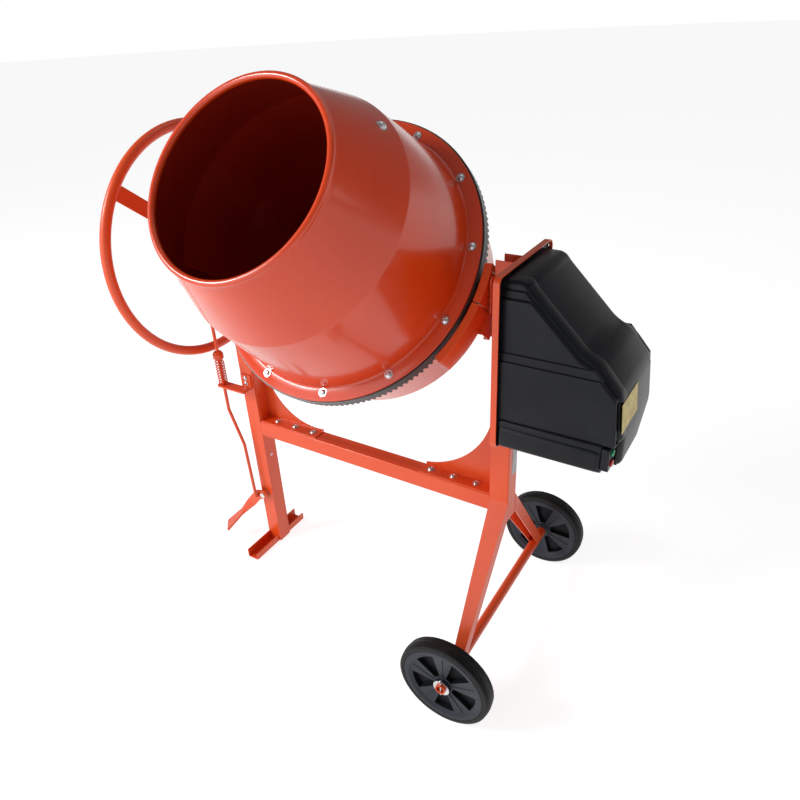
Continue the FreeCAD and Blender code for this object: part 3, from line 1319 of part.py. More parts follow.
BOX_X = COVER_X + NOTCH_X
BOX_OUT = 16
switch_box = stand(body("switch_box"), x=BOX_X, y=-HALF_COVER + 14, z=COVER_LOW + 38)
section = sketch(switch_box, "YZ_Plane", away=S.close_gap)
box_outline(section, -19, -27, 19, 27)
pad(switch_box, section, BOX_OUT)
round_edges(switch_box, 4, runs_along(X_AXIS))
BUTTONS = (("green_button", 12.5), ("red_button", -12.5))
for label, rise in BUTTONS:
    well = sketch(switch_box, "YZ_Plane", away=BOX_OUT + S.close_gap - 12)
    circle(well, 0, rise, S.button_radius + 0.3)
    pocket(switch_box, well, 14, reverse=True)
for label, rise in BUTTONS:
    button = stand(body(label), x=BOX_X + BOX_OUT - 7, y=-HALF_COVER + 14, z=COVER_LOW + 38 + rise)
    section = sketch(button, "YZ_Plane")
    circle(section, 0, 0, S.button_radius)
    pad(button, section, 7 + 5)
    round_edges(button, 1.5, lambda e: e.CenterOfMass.x > 6)

inlet = stand(body("power_inlet"), x=COVER_X + DEPTH * 0.55, y=-HALF_COVER + 100, z=COVER_LOW)
inlet.Placement.Rotation = Rotation(X_AXIS, 180)
section = sketch(inlet, "XZ_Plane")
outline(section, [
    (0, 0), (26, 0), (26, 4), (19, 4), (19, 30), (16.5, 30), (16.5, 8), (0, 8)])
revolve(inlet, section)
pins_line = sketch(inlet, "XY_Plane", away=7)
circle(pins_line, 8, 0, 2.2)
prong = pad(inlet, pins_line, 18)
ring_of(inlet, prong, Size(3))

# Blank labels, one on the cover's far face and one on the right post
face_low = Vector(DEPTH.value, 0, PLATE_TOP.value - 311)
face_high = Vector(DEPTH.value * 0.971, 0, PLATE_TOP.value - 220)
up_face = (face_high - face_low).normalize()
outward = Vector(up_face.z, 0, -up_face.x)
spot = face_low + up_face * 12 + outward * 0.1 + Vector((S.middle_x + COVER_X).value, S.middle_y.value, 0)
sticker = Part.makeBox(0.5, 112, face_high.distanceToPoint(face_low) - 24, Vector(0, -118, 0))
sticker = sticker.transformed(Placement(spot, Rotation(outward, Y_AXIS, up_face, "XYZ")).toMatrix())
post_label = Part.makeBox(0.5, 26, 78, Vector((S.middle_x + PLATE_OUT).value, S.middle_y.value - 7, 552))
solid_of("blank_labels", Part.makeCompound([sticker, post_label]))


# ---------------------------------------------------------------------------------------------
# Tilt lock: bracket, rod, spring, collar, pedal
# ---------------------------------------------------------------------------------------------
ROD_X, ROD_Y = -LOCK_X, -S.rod_forward
STRAP = S.bracket_sheet
lock_bracket = stand(body("lock_bracket"), x=ROD_X, y=ROD_Y, z=S.bracket_height)
TO_POST_X = LOCK_X - POSTS_X - S.post_size
TO_POST_Y = S.rod_forward - HALF_POST
section = sketch(lock_bracket, "XY_Plane")
outline(section, [
    (-16, -S.bracket_width / 2), (TO_POST_X + 44, -S.bracket_width / 2), (TO_POST_X + 44, TO_POST_Y),
    (TO_POST_X + 6, TO_POST_Y), (TO_POST_X + 6, S.bracket_width / 2), (-16, S.bracket_width / 2)])
pad(lock_bracket, section, STRAP)
upright = sketch(lock_bracket, "XZ_Plane", away=STRAP - TO_POST_Y)
box_outline(upright, TO_POST_X + 6, 0, TO_POST_X + 44, 44)
pad(lock_bracket, upright, STRAP, reverse=True)
round_edges(lock_bracket, 12, lambda e: runs_along(Z_AXIS)(e) and e.Vertexes[0].X < -15)
drill(lock_bracket, S.rod_radius + 0.8, 30, Vector(0, 0, -10), Z_AXIS)
for level in (16, 33):
    drill(lock_bracket, 3.3, 30, Vector((TO_POST_X + 25).value, 0, level), Y_AXIS)

pivot = Vector(-PEDAL_X.value, 0, S.pedal_pivot_height.value)
hook_x = -PEDAL_X.value - S.pedal_arm.value
hook_z = S.pedal_pivot_height.value - 8
rod_y = -S.rod_forward.value
stops = [
    Vector(ROD_X.value, rod_y, ROD_TOP.value), Vector(ROD_X.value, rod_y, 517),
    Vector(hook_x - 8, rod_y, 396), Vector(hook_x, rod_y, hook_z), Vector(hook_x, rod_y + 21, hook_z)]
lock_shape = rod(S.rod_radius.value, stops[0].distanceToPoint(stops[1]), stops[0], Vector(0, 0, -1))
for start, stop in zip(stops[1:], stops[2:]):
    lock_shape = lock_shape.fuse(Part.makeSphere(S.rod_radius.value, start))
    lock_shape = lock_shape.fuse(
        rod(S.rod_radius.value, start.distanceToPoint(stop), start, stop - start))
to_world = Placement(Vector(S.middle_x.value, S.middle_y.value, 0), Rotation())
solid_of("lock_rod", lock_shape.removeSplitter(), to_world)

spring_low = (S.bracket_height + STRAP).value + 0.3
coil = Part.makeHelix(
    (S.spring_length.value - 2 * S.spring_wire.value) / S.spring_turns.value,
    S.spring_length.value - 2 * S.spring_wire.value, S.spring_coil_radius.value)
wire_section = Part.Wire([Part.makeCircle(
    S.spring_wire.value, Vector(S.spring_coil_radius.value, 0, 0), Y_AXIS)])
spring = Part.Wire(coil.Edges).makePipeShell([wire_section], True, True)
solid_of("lock_spring", spring, Placement(
    Vector((S.middle_x + ROD_X).value, (S.middle_y + ROD_Y).value, spring_low + S.spring_wire.value),
    Rotation()))

collar_low = spring_low + S.spring_length.value + 0.3
collar = stand(body("spring_collar"), x=ROD_X, y=ROD_Y, z=S.bracket_height + STRAP + S.spring_length + 0.6)
section = sketch(collar, "XZ_Plane")
outline(section, [
    (S.rod_radius, 0), (S.collar_radius - 5, 0), (S.collar_radius, 7), (S.collar_radius, 20),
    (S.collar_radius - 5, 27), (S.rod_radius, 27)])
revolve(collar, section)
round_edges(collar, 3, lambda e: (
    e.Curve.TypeId == "Part::GeomCircle" and e.Curve.Radius > S.collar_radius.value - 1))

bar_y = -S.rod_forward.value + 9
thick, wide = S.pedal_sheet.value, S.pedal_width.value
reach_dir = Vector(hook_x - 68, 0, hook_z - 80) - Vector(hook_x, 0, hook_z)
reach_dir.normalize()
across_dir = Vector(-reach_dir.z, 0, reach_dir.x)


def strip(centre, along_width, along_thickness):
    """A rectangular cross section of the pedal's flat bar."""
    w = along_width * (wide / 2)
    t = along_thickness * (thick / 2)
    return Part.makePolygon([centre - w - t, centre + w - t, centre + w + t, centre - w + t, centre - w - t])


head = Vector(pivot.x, bar_y + thick / 2, pivot.z)
hook = Vector(hook_x, bar_y + thick / 2, hook_z)
neck_at = hook + reach_dir * 62
bend_at = neck_at + reach_dir * 55 + Vector(0, -18, 0)
tread_dir = Vector(-41, -37, -50).normalize()
tread_across = tread_dir.cross(Z_AXIS).normalize()
tread_up = tread_across.cross(tread_dir).normalize()
toe_at = bend_at + tread_dir * 75
head_dir = (head - hook).normalize()
head_across = Vector(-head_dir.z, 0, head_dir.x)
runs = [
    (strip(head + head_dir * 2, head_across, Y_AXIS), strip(hook, head_across, Y_AXIS)),
    (strip(hook, across_dir, Y_AXIS), strip(neck_at, across_dir, Y_AXIS)),
    (strip(neck_at, across_dir, Y_AXIS), strip(bend_at, -tread_across, tread_up)),
    (strip(bend_at, tread_across, tread_up), strip(toe_at, tread_across * 1.7, tread_up))]
pedal = Part.makeLoft(list(runs[0]), True, True)
for run in runs[1:]:
    pedal = pedal.fuse(Part.makeLoft(list(run), True, True))
for eye in (head, hook):
    pedal = pedal.fuse(rod(wide / 2, thick, Vector(eye.x, bar_y, eye.z), Y_AXIS))
pedal = pedal.cut(rod(5 + S.running_gap.value, 20, Vector(pivot.x, bar_y - 5, pivot.z), Y_AXIS))
# the rod's hook slides in a short slot as the pedal turns
slot_radius = S.rod_radius.value + 1
SLOT_RUN = 3.5
slot_low = Vector(hook_x - SLOT_RUN, bar_y - 5, hook_z)
slot = rod(slot_radius, 20, slot_low, Y_AXIS).fuse(
    rod(slot_radius, 20, slot_low + Vector(SLOT_RUN, 0, 0), Y_AXIS))
slot = slot.fuse(Part.makeBox(SLOT_RUN, 20, 2 * slot_radius, slot_low - Vector(0, 0, slot_radius)))
pedal = pedal.cut(slot)
solid_of("pedal", pedal.removeSplitter(), to_world)

front = -HALF_POST.value
pedal_bolt = rod(5, front - bar_y + 5, Vector(pivot.x, bar_y - 5, pivot.z), Y_AXIS)
pedal_bolt = pedal_bolt.fuse(rod(9, front - bar_y - thick - 0.3,
                                 Vector(pivot.x, bar_y + thick + 0.3, pivot.z), Y_AXIS))
pedal_bolt = pedal_bolt.fuse(rod(9, 5, Vector(pivot.x, bar_y - 5.3, pivot.z), Y_AXIS))
solid_of("pedal_bolt", pedal_bolt.removeSplitter(), to_world)

# Frame bolts, wheel washers and split pins
frame_screw = machine_screw(S.bolt_head_radius.value, S.bolt_head.value, S.bolt_radius.value, 14)
small_screw = machine_screw(5.5, 4, 3, 5)
fasteners = []
for side in (-1, 1):
    for k in range(3):
        away = S.gusset_bolt_first.value + k * S.gusset_bolt_step.value
        spot = Vector(side * (POSTS_X.value - away), 0, (S.beam_top + SHEET).value)
        fasteners.append(frame_screw.transformed(Placement(spot, Rotation()).toMatrix()))
for level in (16, 33):
    spot = Vector((ROD_X + TO_POST_X).value + 25, front - STRAP.value, S.bracket_height.value + level)
    fasteners.append(small_screw.transformed(Placement(spot, Rotation(Z_AXIS, -Y_AXIS)).toMatrix()))
rivet = machine_screw(5, 2.4, RIVET_RADIUS, 2, washer=False)
fasteners.append(rivet.transformed(Placement(
    Vector(-POSTS_X.value, 0, RIVET_HEIGHT), Rotation(Z_AXIS, X_AXIS)).toMatrix()))
solid_of("frame_bolts", Part.makeCompound(fasteners), to_world)

retainers = []
for side in (-1, 1):
    end = S.wheel_face.value - S.wheel_width.value / 2 + S.hub_length.value / 2 + 0.4
    washer = tube(S.hub_radius.value - 1, S.axle_radius.value + 0.2, 2, Vector(0, end, 0), Y_AXIS)
    top = S.hub_radius.value + 1
    pin = rod(1.8, top + 20, Vector(0, PIN_Y.value, -20), Z_AXIS)
    eye = Part.makeTorus(3.4, 1.4, Vector(0, PIN_Y.value, top + 3.6), X_AXIS)
    for piece in (washer, pin.fuse(eye)):
        retainers.append(piece if side > 0 else piece.mirror(Vector(), Y_AXIS))
solid_of("wheel_retainers", Part.makeCompound(retainers), Placement(
    Vector((S.middle_x + AXLE_X).value, S.middle_y.value, S.wheel_radius.value), Rotation()))


# ---------------------------------------------------------------------------------------------
# Checks and files
# ---------------------------------------------------------------------------------------------
doc.recompute()
KINDS = ("PartDesign::Body", "Part::Feature", "Part::Cut")
pieces = [
    thing for thing in doc.Objects if thing.TypeId in KINDS and thing not in (outside, inside)]
for thing in doc.Objects:
    if "Invalid" in thing.State or "Error" in thing.State:
        raise RuntimeError(f"{thing.Label} did not build: {thing.State}")
os.makedirs("parts", exist_ok=True)
for thing in pieces:
    shape = thing.Shape
    if shape.isNull() or not shape.isValid() or not shape.Solids:
        raise RuntimeError(f"{thing.Label} has no sound solid")
    shape.exportStep(f"parts/{thing.Label}.step")
    box = shape.BoundBox
    print(f"{thing.Label:22s} solids {len(shape.Solids):3d}  "
          f"x {box.XMin:7.1f} {box.XMax:7.1f}  y {box.YMin:7.1f} {box.YMax:7.1f}  "
          f"z {box.ZMin:7.1f} {box.ZMax:7.1f}")
print(len(pieces), "pieces")
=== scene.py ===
# %% [markdown]
# # A concrete mixer, finished in Blender
#
# The engineering model of this machine already exists: every bracket, shaft and bolt has its real
# size and place. This lesson loads it as a fixed frame and gives it the looks of the real thing.
# Pieces whose form is soft or rounded, such as the spun drum, the moulded cover and the tyres, are
# modelled again with Blender's own tools. Pieces made of folded sheet stay, and get rolled edges
# and paint.

# %% Load the frame
import math

import bmesh
import bpy
from mathutils import Matrix, Vector


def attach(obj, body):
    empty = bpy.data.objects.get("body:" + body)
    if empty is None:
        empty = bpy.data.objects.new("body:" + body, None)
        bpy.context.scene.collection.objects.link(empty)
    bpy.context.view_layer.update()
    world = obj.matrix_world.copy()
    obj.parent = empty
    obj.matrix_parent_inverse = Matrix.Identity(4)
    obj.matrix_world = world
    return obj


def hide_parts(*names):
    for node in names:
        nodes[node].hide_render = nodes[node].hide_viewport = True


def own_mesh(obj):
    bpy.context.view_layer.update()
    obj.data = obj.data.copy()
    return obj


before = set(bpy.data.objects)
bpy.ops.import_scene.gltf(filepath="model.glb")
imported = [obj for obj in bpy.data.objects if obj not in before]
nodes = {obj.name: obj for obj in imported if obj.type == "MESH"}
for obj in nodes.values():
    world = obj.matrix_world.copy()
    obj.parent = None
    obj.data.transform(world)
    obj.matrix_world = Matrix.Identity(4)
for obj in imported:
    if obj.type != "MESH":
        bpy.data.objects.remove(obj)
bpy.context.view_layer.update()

print("pieces in the frame:", len(nodes))

# %% [markdown]
# ## Where things are
#
# The drum and its yoke are leaned over about a cross axis. Working on them is easy when they stand
# upright about their own axis, so the drum's frame is kept as one matrix: model upright, then
# multiply. The handwheel and the cover get a matrix of their own too, and so do the wheels further
# down. The lock's spring only needs the point that its foot stands on.

# %% Frames to model in
PIVOT = Vector((-0.064, 0.066, 1.033))
LEAN = math.radians(51)
DRUM_FRAME = Matrix.Translation(PIVOT) @ Matrix.Rotation(LEAN, 4, "X")
AXLE = Vector((0.351, 0.066, 0.125))
COVER_FRAME = Matrix.Translation((0.375, 0.066, 0.0))
HANDWHEEL_FRAME = (
    Matrix.Translation((-0.593, 0.066, 1.033)) @ Matrix.Rotation(math.radians(90), 4, "Y"))
SPRING_FOOT = Vector((-0.561, 0.016, 0.6073))
print("the drum's axis points to", [round(v, 3) for v in DRUM_FRAME.to_3x3() @ Vector((0, 0, 1))])

# %% [markdown]
# ## Writing materials as sums
#
# Shader nodes are joined by wires. Placing each node by hand makes long code, so a wire is wrapped
# in a small class that understands plus, minus and times: adding two wires makes a Math node and
# returns its output. One more method makes any other kind of node. Every finish below is then a
# few readable lines.

# %% Wires that add up
class Wire:
    """The output of a shader node, which can be used like a number."""

    def __init__(self, tree, socket):
        self.tree = tree
        self.socket = socket

    def join(self, operation, *others):
        node = self.tree.nodes.new("ShaderNodeMath")
        node.operation = operation
        for entry, value in zip(node.inputs, (self, *others)):
            if isinstance(value, Wire):
                self.tree.links.new(value.socket, entry)
            else:
                entry.default_value = value
        return Wire(self.tree, node.outputs[0])

    def __add__(self, other):
        return self.join("ADD", other)

    def __sub__(self, other):
        return self.join("SUBTRACT", other)

    def __mul__(self, other):
        return self.join("MULTIPLY", other)

    def __rsub__(self, other):
        return self.join("MULTIPLY", -1.0).join("ADD", other)

    __radd__ = __add__
    __rmul__ = __mul__

    def above(self, limit, spread):
        """0 below the limit, rising to 1 over the spread."""
        return ((self - limit) * (1.0 / spread)).join("MAXIMUM", 0.0).join("MINIMUM", 1.0)


print("a wire understands:", [name for name in vars(Wire) if callable(getattr(Wire, name))])

# %% [markdown]
# ## A finish
#
# A finish is one material. It starts as Blender's general shader with its constant values set, and
# has one method that makes any node from its type, its settings and the values or wires that go
# in. Noise, mixing two colours and bump are needed by nearly every finish, so each has a method.

# %% A finish
class Finish:
    """A material that is built up node by node."""

    def __init__(self, name, **constants):
        self.material = bpy.data.materials.new(name)
        self.material.use_nodes = True
        self.tree = self.material.node_tree
        self.shader = self.tree.nodes["Principled BSDF"]
        for socket, value in constants.items():
            self.shader.inputs[socket.replace("_", " ")].default_value = value
        self.place = self.node("ShaderNodeTexCoord", output="Object")

    def node(self, kind, output=0, settings=(), **entries):
        """Makes a node, sets its settings and its inputs, and returns one of its outputs."""
        made = self.tree.nodes.new(kind)
        for key, value in dict(settings).items():
            setattr(made, key, value)
        for key, value in entries.items():
            entry = made.inputs[int(key[1:]) if key[0] == "_" else key.replace("_", " ")]
            if isinstance(value, Wire):
                self.tree.links.new(value.socket, entry)
            else:
                entry.default_value = value
        return Wire(self.tree, made.outputs[output])

    def noise(self, scale, detail=3.0, roughness=0.5, stretch=None):
        """Cloudy noise over the piece, from 0 to 1, drawn out along an axis if asked."""
        place = self.place
        if stretch:
            place = self.node("ShaderNodeMapping", Vector=place, Scale=stretch)
        return self.node(
            "ShaderNodeTexNoise", Vector=place, Scale=scale, Detail=detail, Roughness=roughness)

    def mix(self, factor, first, second):
        """A colour between two colours."""
        return self.node(
            "ShaderNodeMix", output=2, settings={"data_type": "RGBA"},
            _0=factor, _6=first, _7=second)

    def feed(self, **wires):
        """Leads wires into the shader."""
        for socket, wire in wires.items():
            self.tree.links.new(wire.socket, self.shader.inputs[socket.replace("_", " ")])

    def bump(self, height, strength, depth):
        """Lets a height wire disturb the surface's normal."""
        lifted = self.node("ShaderNodeBump", Strength=strength, Distance=depth, Height=height)
        self.feed(Normal=lifted)


def rgb(red, green, blue):
    """An opaque colour."""
    return (red, green, blue, 1.0)


print("white is", rgb(1, 1, 1))

# %% [markdown]
# ## Orange paint
#
# The frame is sprayed and stoved: a glossy coat with a faint orange peel, a little unevenness in
# its colour, and a film of dust where nobody wipes it. Low noise moves the colour, fine noise
# dents the coat. The drum's outside is glossier than the frame. Its inside gets a darker paint,
# which is painted shade: it darkens the inside of the drum as shade would.

# %% Paints
PEEL = 420.0


def paint(name, light, deep, gloss, coat):
    """Stoved paint between two tones, with an orange peel of PEEL bumps to the metre."""
    made = Finish(name, Coat_Roughness=0.06, IOR=1.5)
    cloud = made.noise(5.0, 4.0)
    fine = made.noise(60.0, 5.0, 0.6)
    speck = made.noise(900.0, 2.0).above(0.68, 0.05)
    tone = made.mix((cloud * 0.75 + fine * 0.25).above(0.35, 0.35), deep, light)
    dust = (made.noise(14.0, 6.0, 0.65) * made.noise(150.0, 3.0)).above(0.30, 0.2)
    tone = made.mix(dust * 0.02, tone, rgb(0.62, 0.42, 0.34))
    tone = made.mix(speck * 0.10, tone, deep)
    made.feed(
        Base_Color=tone, Roughness=fine * 0.05 + dust * 0.06 + gloss,
        Coat_Weight=coat - dust * 0.2)
    made.bump(made.noise(PEEL, 2.0) * 0.7 + fine * 0.2, 0.03, 0.0005)
    return made.material


orange_paint = paint(
    "orange_paint", rgb(0.72, 0.074, 0.009), rgb(0.67, 0.062, 0.007), gloss=0.34, coat=0.10)
drum_paint = paint(
    "drum_paint", rgb(0.66, 0.050, 0.005), rgb(0.60, 0.040, 0.003), gloss=0.20, coat=0.30)
# Painted shade: a darker copy of the drum paint for the inside of the drum and its paddles.
drum_inside_painted_shade = paint(
    "drum_inside_painted_shade", rgb(0.42, 0.022, 0.006), rgb(0.30, 0.013, 0.004), gloss=0.30, coat=0.35)
print("paints:", orange_paint.name, drum_paint.name, drum_inside_painted_shade.name)

# %% [markdown]
# ## Bare metals
#
# Bolts are zinc plated: a soft, slightly blotchy silver. Shafts are turned steel with fine rings
# of tool marks, which a noise gives when it is squeezed along one axis. Bushes are bronze, and the
# motor's housing is cast alloy.

# %% Metals
def metal(name, light, deep, gloss, grain, depth, stretch=None):
    """A metal between two tones with a grain."""
    made = Finish(name, Metallic=1.0)
    cloud = made.noise(38.0, 4.0)
    lines = made.noise(grain, 3.0, 0.6, stretch)
    made.feed(
        Base_Color=made.mix(cloud.above(0.3, 0.4), deep, light),
        Roughness=lines * 0.16 + cloud * 0.10 + gloss)
    made.bump(lines, 0.16, depth)
    return made.material


zinc = metal("zinc_plate", rgb(0.78, 0.79, 0.80), rgb(0.55, 0.56, 0.58), 0.16, 700.0, 0.0003)
steel = metal(
    "turned_steel", rgb(0.56, 0.56, 0.57), rgb(0.38, 0.38, 0.39), 0.18, 120.0, 0.0003, (30, 1, 1))
bronze = metal(
    "sintered_bronze", rgb(0.62, 0.42, 0.18), rgb(0.44, 0.29, 0.12), 0.3, 900.0, 0.0003)
alloy = metal("cast_alloy", rgb(0.50, 0.51, 0.53), rgb(0.36, 0.37, 0.39), 0.34, 500.0, 0.0006)
print("metals:", zinc.name, steel.name, bronze.name, alloy.name)

# %% [markdown]
# ## Black cast iron
#
# The ring gear and the large pulley are cast iron in black paint, pitted by the sand of their
# mould. One noise gives the pits, and a coarser one lets the paint wear thin in patches.

# %% Cast iron
def cast_iron():
    """Black painted iron with a sandy skin."""
    made = Finish("black_cast_iron", Metallic=0.25, Coat_Roughness=0.3)
    sand = made.noise(520.0, 4.0, 0.65)
    worn = made.noise(70.0, 5.0, 0.6).above(0.62, 0.1)
    made.feed(
        Base_Color=made.mix(worn * 0.35, rgb(0.014, 0.014, 0.015), rgb(0.11, 0.10, 0.10)),
        Roughness=sand * 0.25 + 0.36, Coat_Weight=0.3 - worn * 0.2)
    made.bump(sand, 0.4, 0.0007)
    return made.material


black_iron = cast_iron()
print("iron:", black_iron.name)

# %% [markdown]
# ## Plastics
#
# The cover is blow moulded: black, satin, with a leathery micro grain and long soft ripples left
# by the mould. The wheels are injection moulded in a blue-black plastic. The gaps between their
# spokes get a darker, duller copy of it, which is painted shade for the deep recesses. The two
# buttons are small glossy caps. All five are one recipe.

# %% Plastics
def plastic(name, light, deep, gloss, grain, depth, coat=0.0):
    """A moulded plastic with a fine grain."""
    made = Finish(name, IOR=1.49, Coat_Roughness=0.25, Specular_IOR_Level=0.2)
    cloud = made.noise(9.0, 4.0)
    leather = made.node(
        "ShaderNodeTexVoronoi", Vector=made.place, Scale=grain, settings={"feature": "F1"})
    ripple = made.noise(3.2, 1.0)
    dust = (made.noise(22.0, 6.0, 0.7) * made.noise(240.0, 2.0)).above(0.28, 0.2)
    tone = made.mix(cloud.above(0.35, 0.35), deep, light)
    made.feed(
        Base_Color=made.mix(dust * 0.04, tone, rgb(0.20, 0.20, 0.20)),
        Roughness=leather * 0.10 + cloud * 0.08 + dust * 0.10 + gloss,
        Coat_Weight=cloud * 0.1 + coat)
    made.bump(leather * 0.35 + ripple * 3.0, 0.14, depth)
    return made.material


cover_black = plastic(
    "cover_plastic", rgb(0.0062, 0.0074, 0.0105), rgb(0.0042, 0.0050, 0.0072), 0.26, 900.0, 0.0007)
wheel_black = plastic(
    "wheel_moulding", rgb(0.028, 0.034, 0.045), rgb(0.018, 0.022, 0.030), 0.32, 1100.0, 0.0005)
# Painted shade: the gaps between the spokes are coloured darker than the wheel's own plastic.
gap_painted_shade = plastic(
    "wheel_gap_painted_shade", rgb(0.0050, 0.0060, 0.0080), rgb(0.0030, 0.0036, 0.0050), 0.55, 1100.0,
    0.0005)
green_cap = plastic(
    "green_plastic", rgb(0.010, 0.30, 0.13), rgb(0.006, 0.20, 0.08), 0.18, 1500.0, 0.0003, coat=0.4)
red_cap = plastic(
    "red_plastic", rgb(0.55, 0.018, 0.014), rgb(0.40, 0.012, 0.010), 0.18, 1500.0, 0.0003, coat=0.4)
print("plastics:", [m.name for m in (cover_black, wheel_black, gap_painted_shade, green_cap, red_cap)])

# %% [markdown]
# ## Rubber
#
# Tyres and the belt are dull rubber with a bloom on it, and dust that lies in the texture.

# %% Rubber
def rubber():
    """Tyre rubber, bloomed and a little dusty."""
    made = Finish("tyre_compound", IOR=1.46, Specular_IOR_Level=0.3)
    cloud = made.noise(26.0, 5.0, 0.6)
    grit = made.noise(800.0, 3.0, 0.7)
    dust = (cloud * grit).above(0.27, 0.15)
    made.feed(
        Base_Color=made.mix(dust * 0.2, rgb(0.0065, 0.0065, 0.007), rgb(0.085, 0.080, 0.074)),
        Roughness=cloud * 0.2 + dust * 0.15 + 0.44)
    made.bump(grit * 0.6 + cloud * 0.6, 0.25, 0.0006)
    return made.material


black_rubber = rubber()
print("rubber:", black_rubber.name)

# %% [markdown]
# ## Label foil
#
# Both blank labels are one piece of the frame, so one finish covers them: gold foil on the cover,
# grey on the post. The place along the machine tells the two apart.

# %% Label foil
LABEL_SPLIT = 0.5


def foil():
    """Brushed foil, dulled in blotches."""
    made = Finish("label_foil")
    brushed = made.noise(60.0, 3.0, 0.5, (1, 1, 26))
    blotch = made.noise(40.0, 4.0)
    gold = made.mix(blotch.above(0.35, 0.3), rgb(0.34, 0.25, 0.055), rgb(0.50, 0.39, 0.11))
    grey = made.mix(blotch.above(0.35, 0.3), rgb(0.30, 0.31, 0.32), rgb(0.42, 0.43, 0.44))
    on_cover = made.node("ShaderNodeSeparateXYZ", Vector=made.place).above(LABEL_SPLIT, 0.001)
    made.feed(
        Base_Color=made.mix(on_cover, grey, gold), Metallic=on_cover * 0.75,
        Roughness=brushed * 0.25 + 0.30)
    made.bump(brushed, 0.12, 0.0003)
    return made.material


label_foil = foil()
print("foil:", label_foil.name)

# %% [markdown]
# ## Dress the frame's own pieces
#
# Folded sheet, tube and bolts already have their true shape, and take a finish each. Cut sheet also
# gets its edges rolled, because no cut edge is perfectly sharp, and a thin line of light along it
# is what makes metal look like metal. The frame's meshes are split where two faces meet, so a weld
# modifier joins them first, and a bevel modifier then has an edge to roll.

# %% Finishes for the frame
DRESS = {
    orange_paint: (
        "left_post left_post_liner left_foot crossbeam left_gusset right_gusset right_post "
        "front_leg rear_leg axle_tube left_bearing right_bearing backplate lock_bracket pedal "
        "yoke_frame left_trunnion right_trunnion lock_disc handwheel_spoke gear_guard_lower "
        "gear_guard_upper guard_bracket drum_hub handwheel_rim lock_rod spring_collar lock_spring"),
    # The paddles sit inside the drum and take its darker inside paint: painted shade.
    drum_inside_painted_shade: "mixing_paddle_a mixing_paddle_b",
    drum_paint: "drum_upper drum_lower",
    zinc: "frame_bolts wheel_retainers cover_screws flange_bolts paddle_bolts pedal_bolt",
    steel: (
        "drum_spindle spindle_bearings pinion_shaft motor_rotor motor_bracket pinion motor_pulley"),
    black_iron: "ring_gear large_pulley",
    bronze: "shaft_bushes",
    alloy: "motor_housing",
    cover_black: "motor_cover switch_box power_inlet",
    wheel_black: "front_wheel_disc rear_wheel_disc",
    black_rubber: "front_wheel_tyre rear_wheel_tyre drive_belt",
    green_cap: "green_button",
    red_cap: "red_button",
    label_foil: "blank_labels",
}
ROLLED = (
    "left_post left_post_liner left_foot crossbeam left_gusset right_gusset right_post front_leg "
    "rear_leg backplate lock_bracket pedal yoke_frame lock_disc handwheel_spoke gear_guard_lower "
    "gear_guard_upper guard_bracket mixing_paddle_a mixing_paddle_b switch_box").split()

for finish, names in DRESS.items():
    for name in names.split():
        piece = nodes[name]
        piece.data.materials.clear()
        piece.data.materials.append(finish)
print("dressed:", sum(len(names.split()) for names in DRESS.values()))

# %% Rolled edges
WELD_REACH = 0.00002
ROLL_WIDTH = 0.0009
SHARP = math.radians(40)

for name in ROLLED:
    nodes[name].modifiers.new("joined_faces", "WELD").merge_threshold = WELD_REACH
    roll = nodes[name].modifiers.new("rolled_edge", "BEVEL")
    roll.width = ROLL_WIDTH
    roll.segments = 3
    roll.limit_method = "ANGLE"
    roll.angle_limit = SHARP
    roll.harden_normals = False
print("rolled:", len(ROLLED))

# %% [markdown]
# ## A lathe
#
# A lathe turns a closed profile once round an axis. It suits the drum, the tyres and the rims, and
# bmesh's spin operator does it. Rounded corners are put into the profile as short arcs.

# %% Lathe
def arc(centre_x, centre_y, radius, start, stop, steps):
    """Points along an arc, angles in degrees."""
    turns = [math.radians(start + (stop - start) * k / steps) for k in range(steps + 1)]
    return [(centre_x + radius * math.cos(a), centre_y + radius * math.sin(a)) for a in turns]


def lathe(bm, profile, steps):
    """Turns a closed profile of (radius, height) once round the upright axis."""
    ring = [bm.verts.new((radius, 0.0, height)) for radius, height in profile]
    lines = [bm.edges.new((ring[k - 1], ring[k])) for k in range(len(ring))]
    bmesh.ops.spin(
        bm, geom=ring + lines, cent=(0, 0, 0), axis=(0, 0, 1), angle=math.tau, steps=steps,
        use_merge=True)
    bmesh.ops.remove_doubles(bm, verts=bm.verts, dist=1e-6)


print("a quarter turn in two steps:", arc(0, 0, 1, 0, 90, 2))

# %% [markdown]
# ## Finishing a piece
#
# Every new piece ends in the same way: its normals face outwards, its place goes into its mesh, it
# gets its materials and smooth shading, it rides on a body, and it stands in for the frame's piece.

# %% Finishing
def finished(bm, name, place, body, *stands_for, slot, materials, smooth):
    """Closes a mesh into an object that rides on a body in place of CAD nodes."""
    bmesh.ops.recalc_face_normals(bm, faces=bm.faces)
    mesh = bpy.data.meshes.new(name)
    bmesh.ops.transform(bm, matrix=place, verts=bm.verts)
    bm.to_mesh(mesh)
    bm.free()
    piece = bpy.data.objects.new(name, mesh)
    bpy.context.scene.collection.objects.link(piece)
    for material in materials:
        mesh.materials.append(material)
    mesh.shade_smooth()
    mesh.set_sharp_from_angle(angle=math.radians(smooth))
    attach(piece, body)
    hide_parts(*stands_for)
    print(name, "faces:", len(mesh.polygons))
    return piece


print("pieces that new ones can replace:", len(nodes))
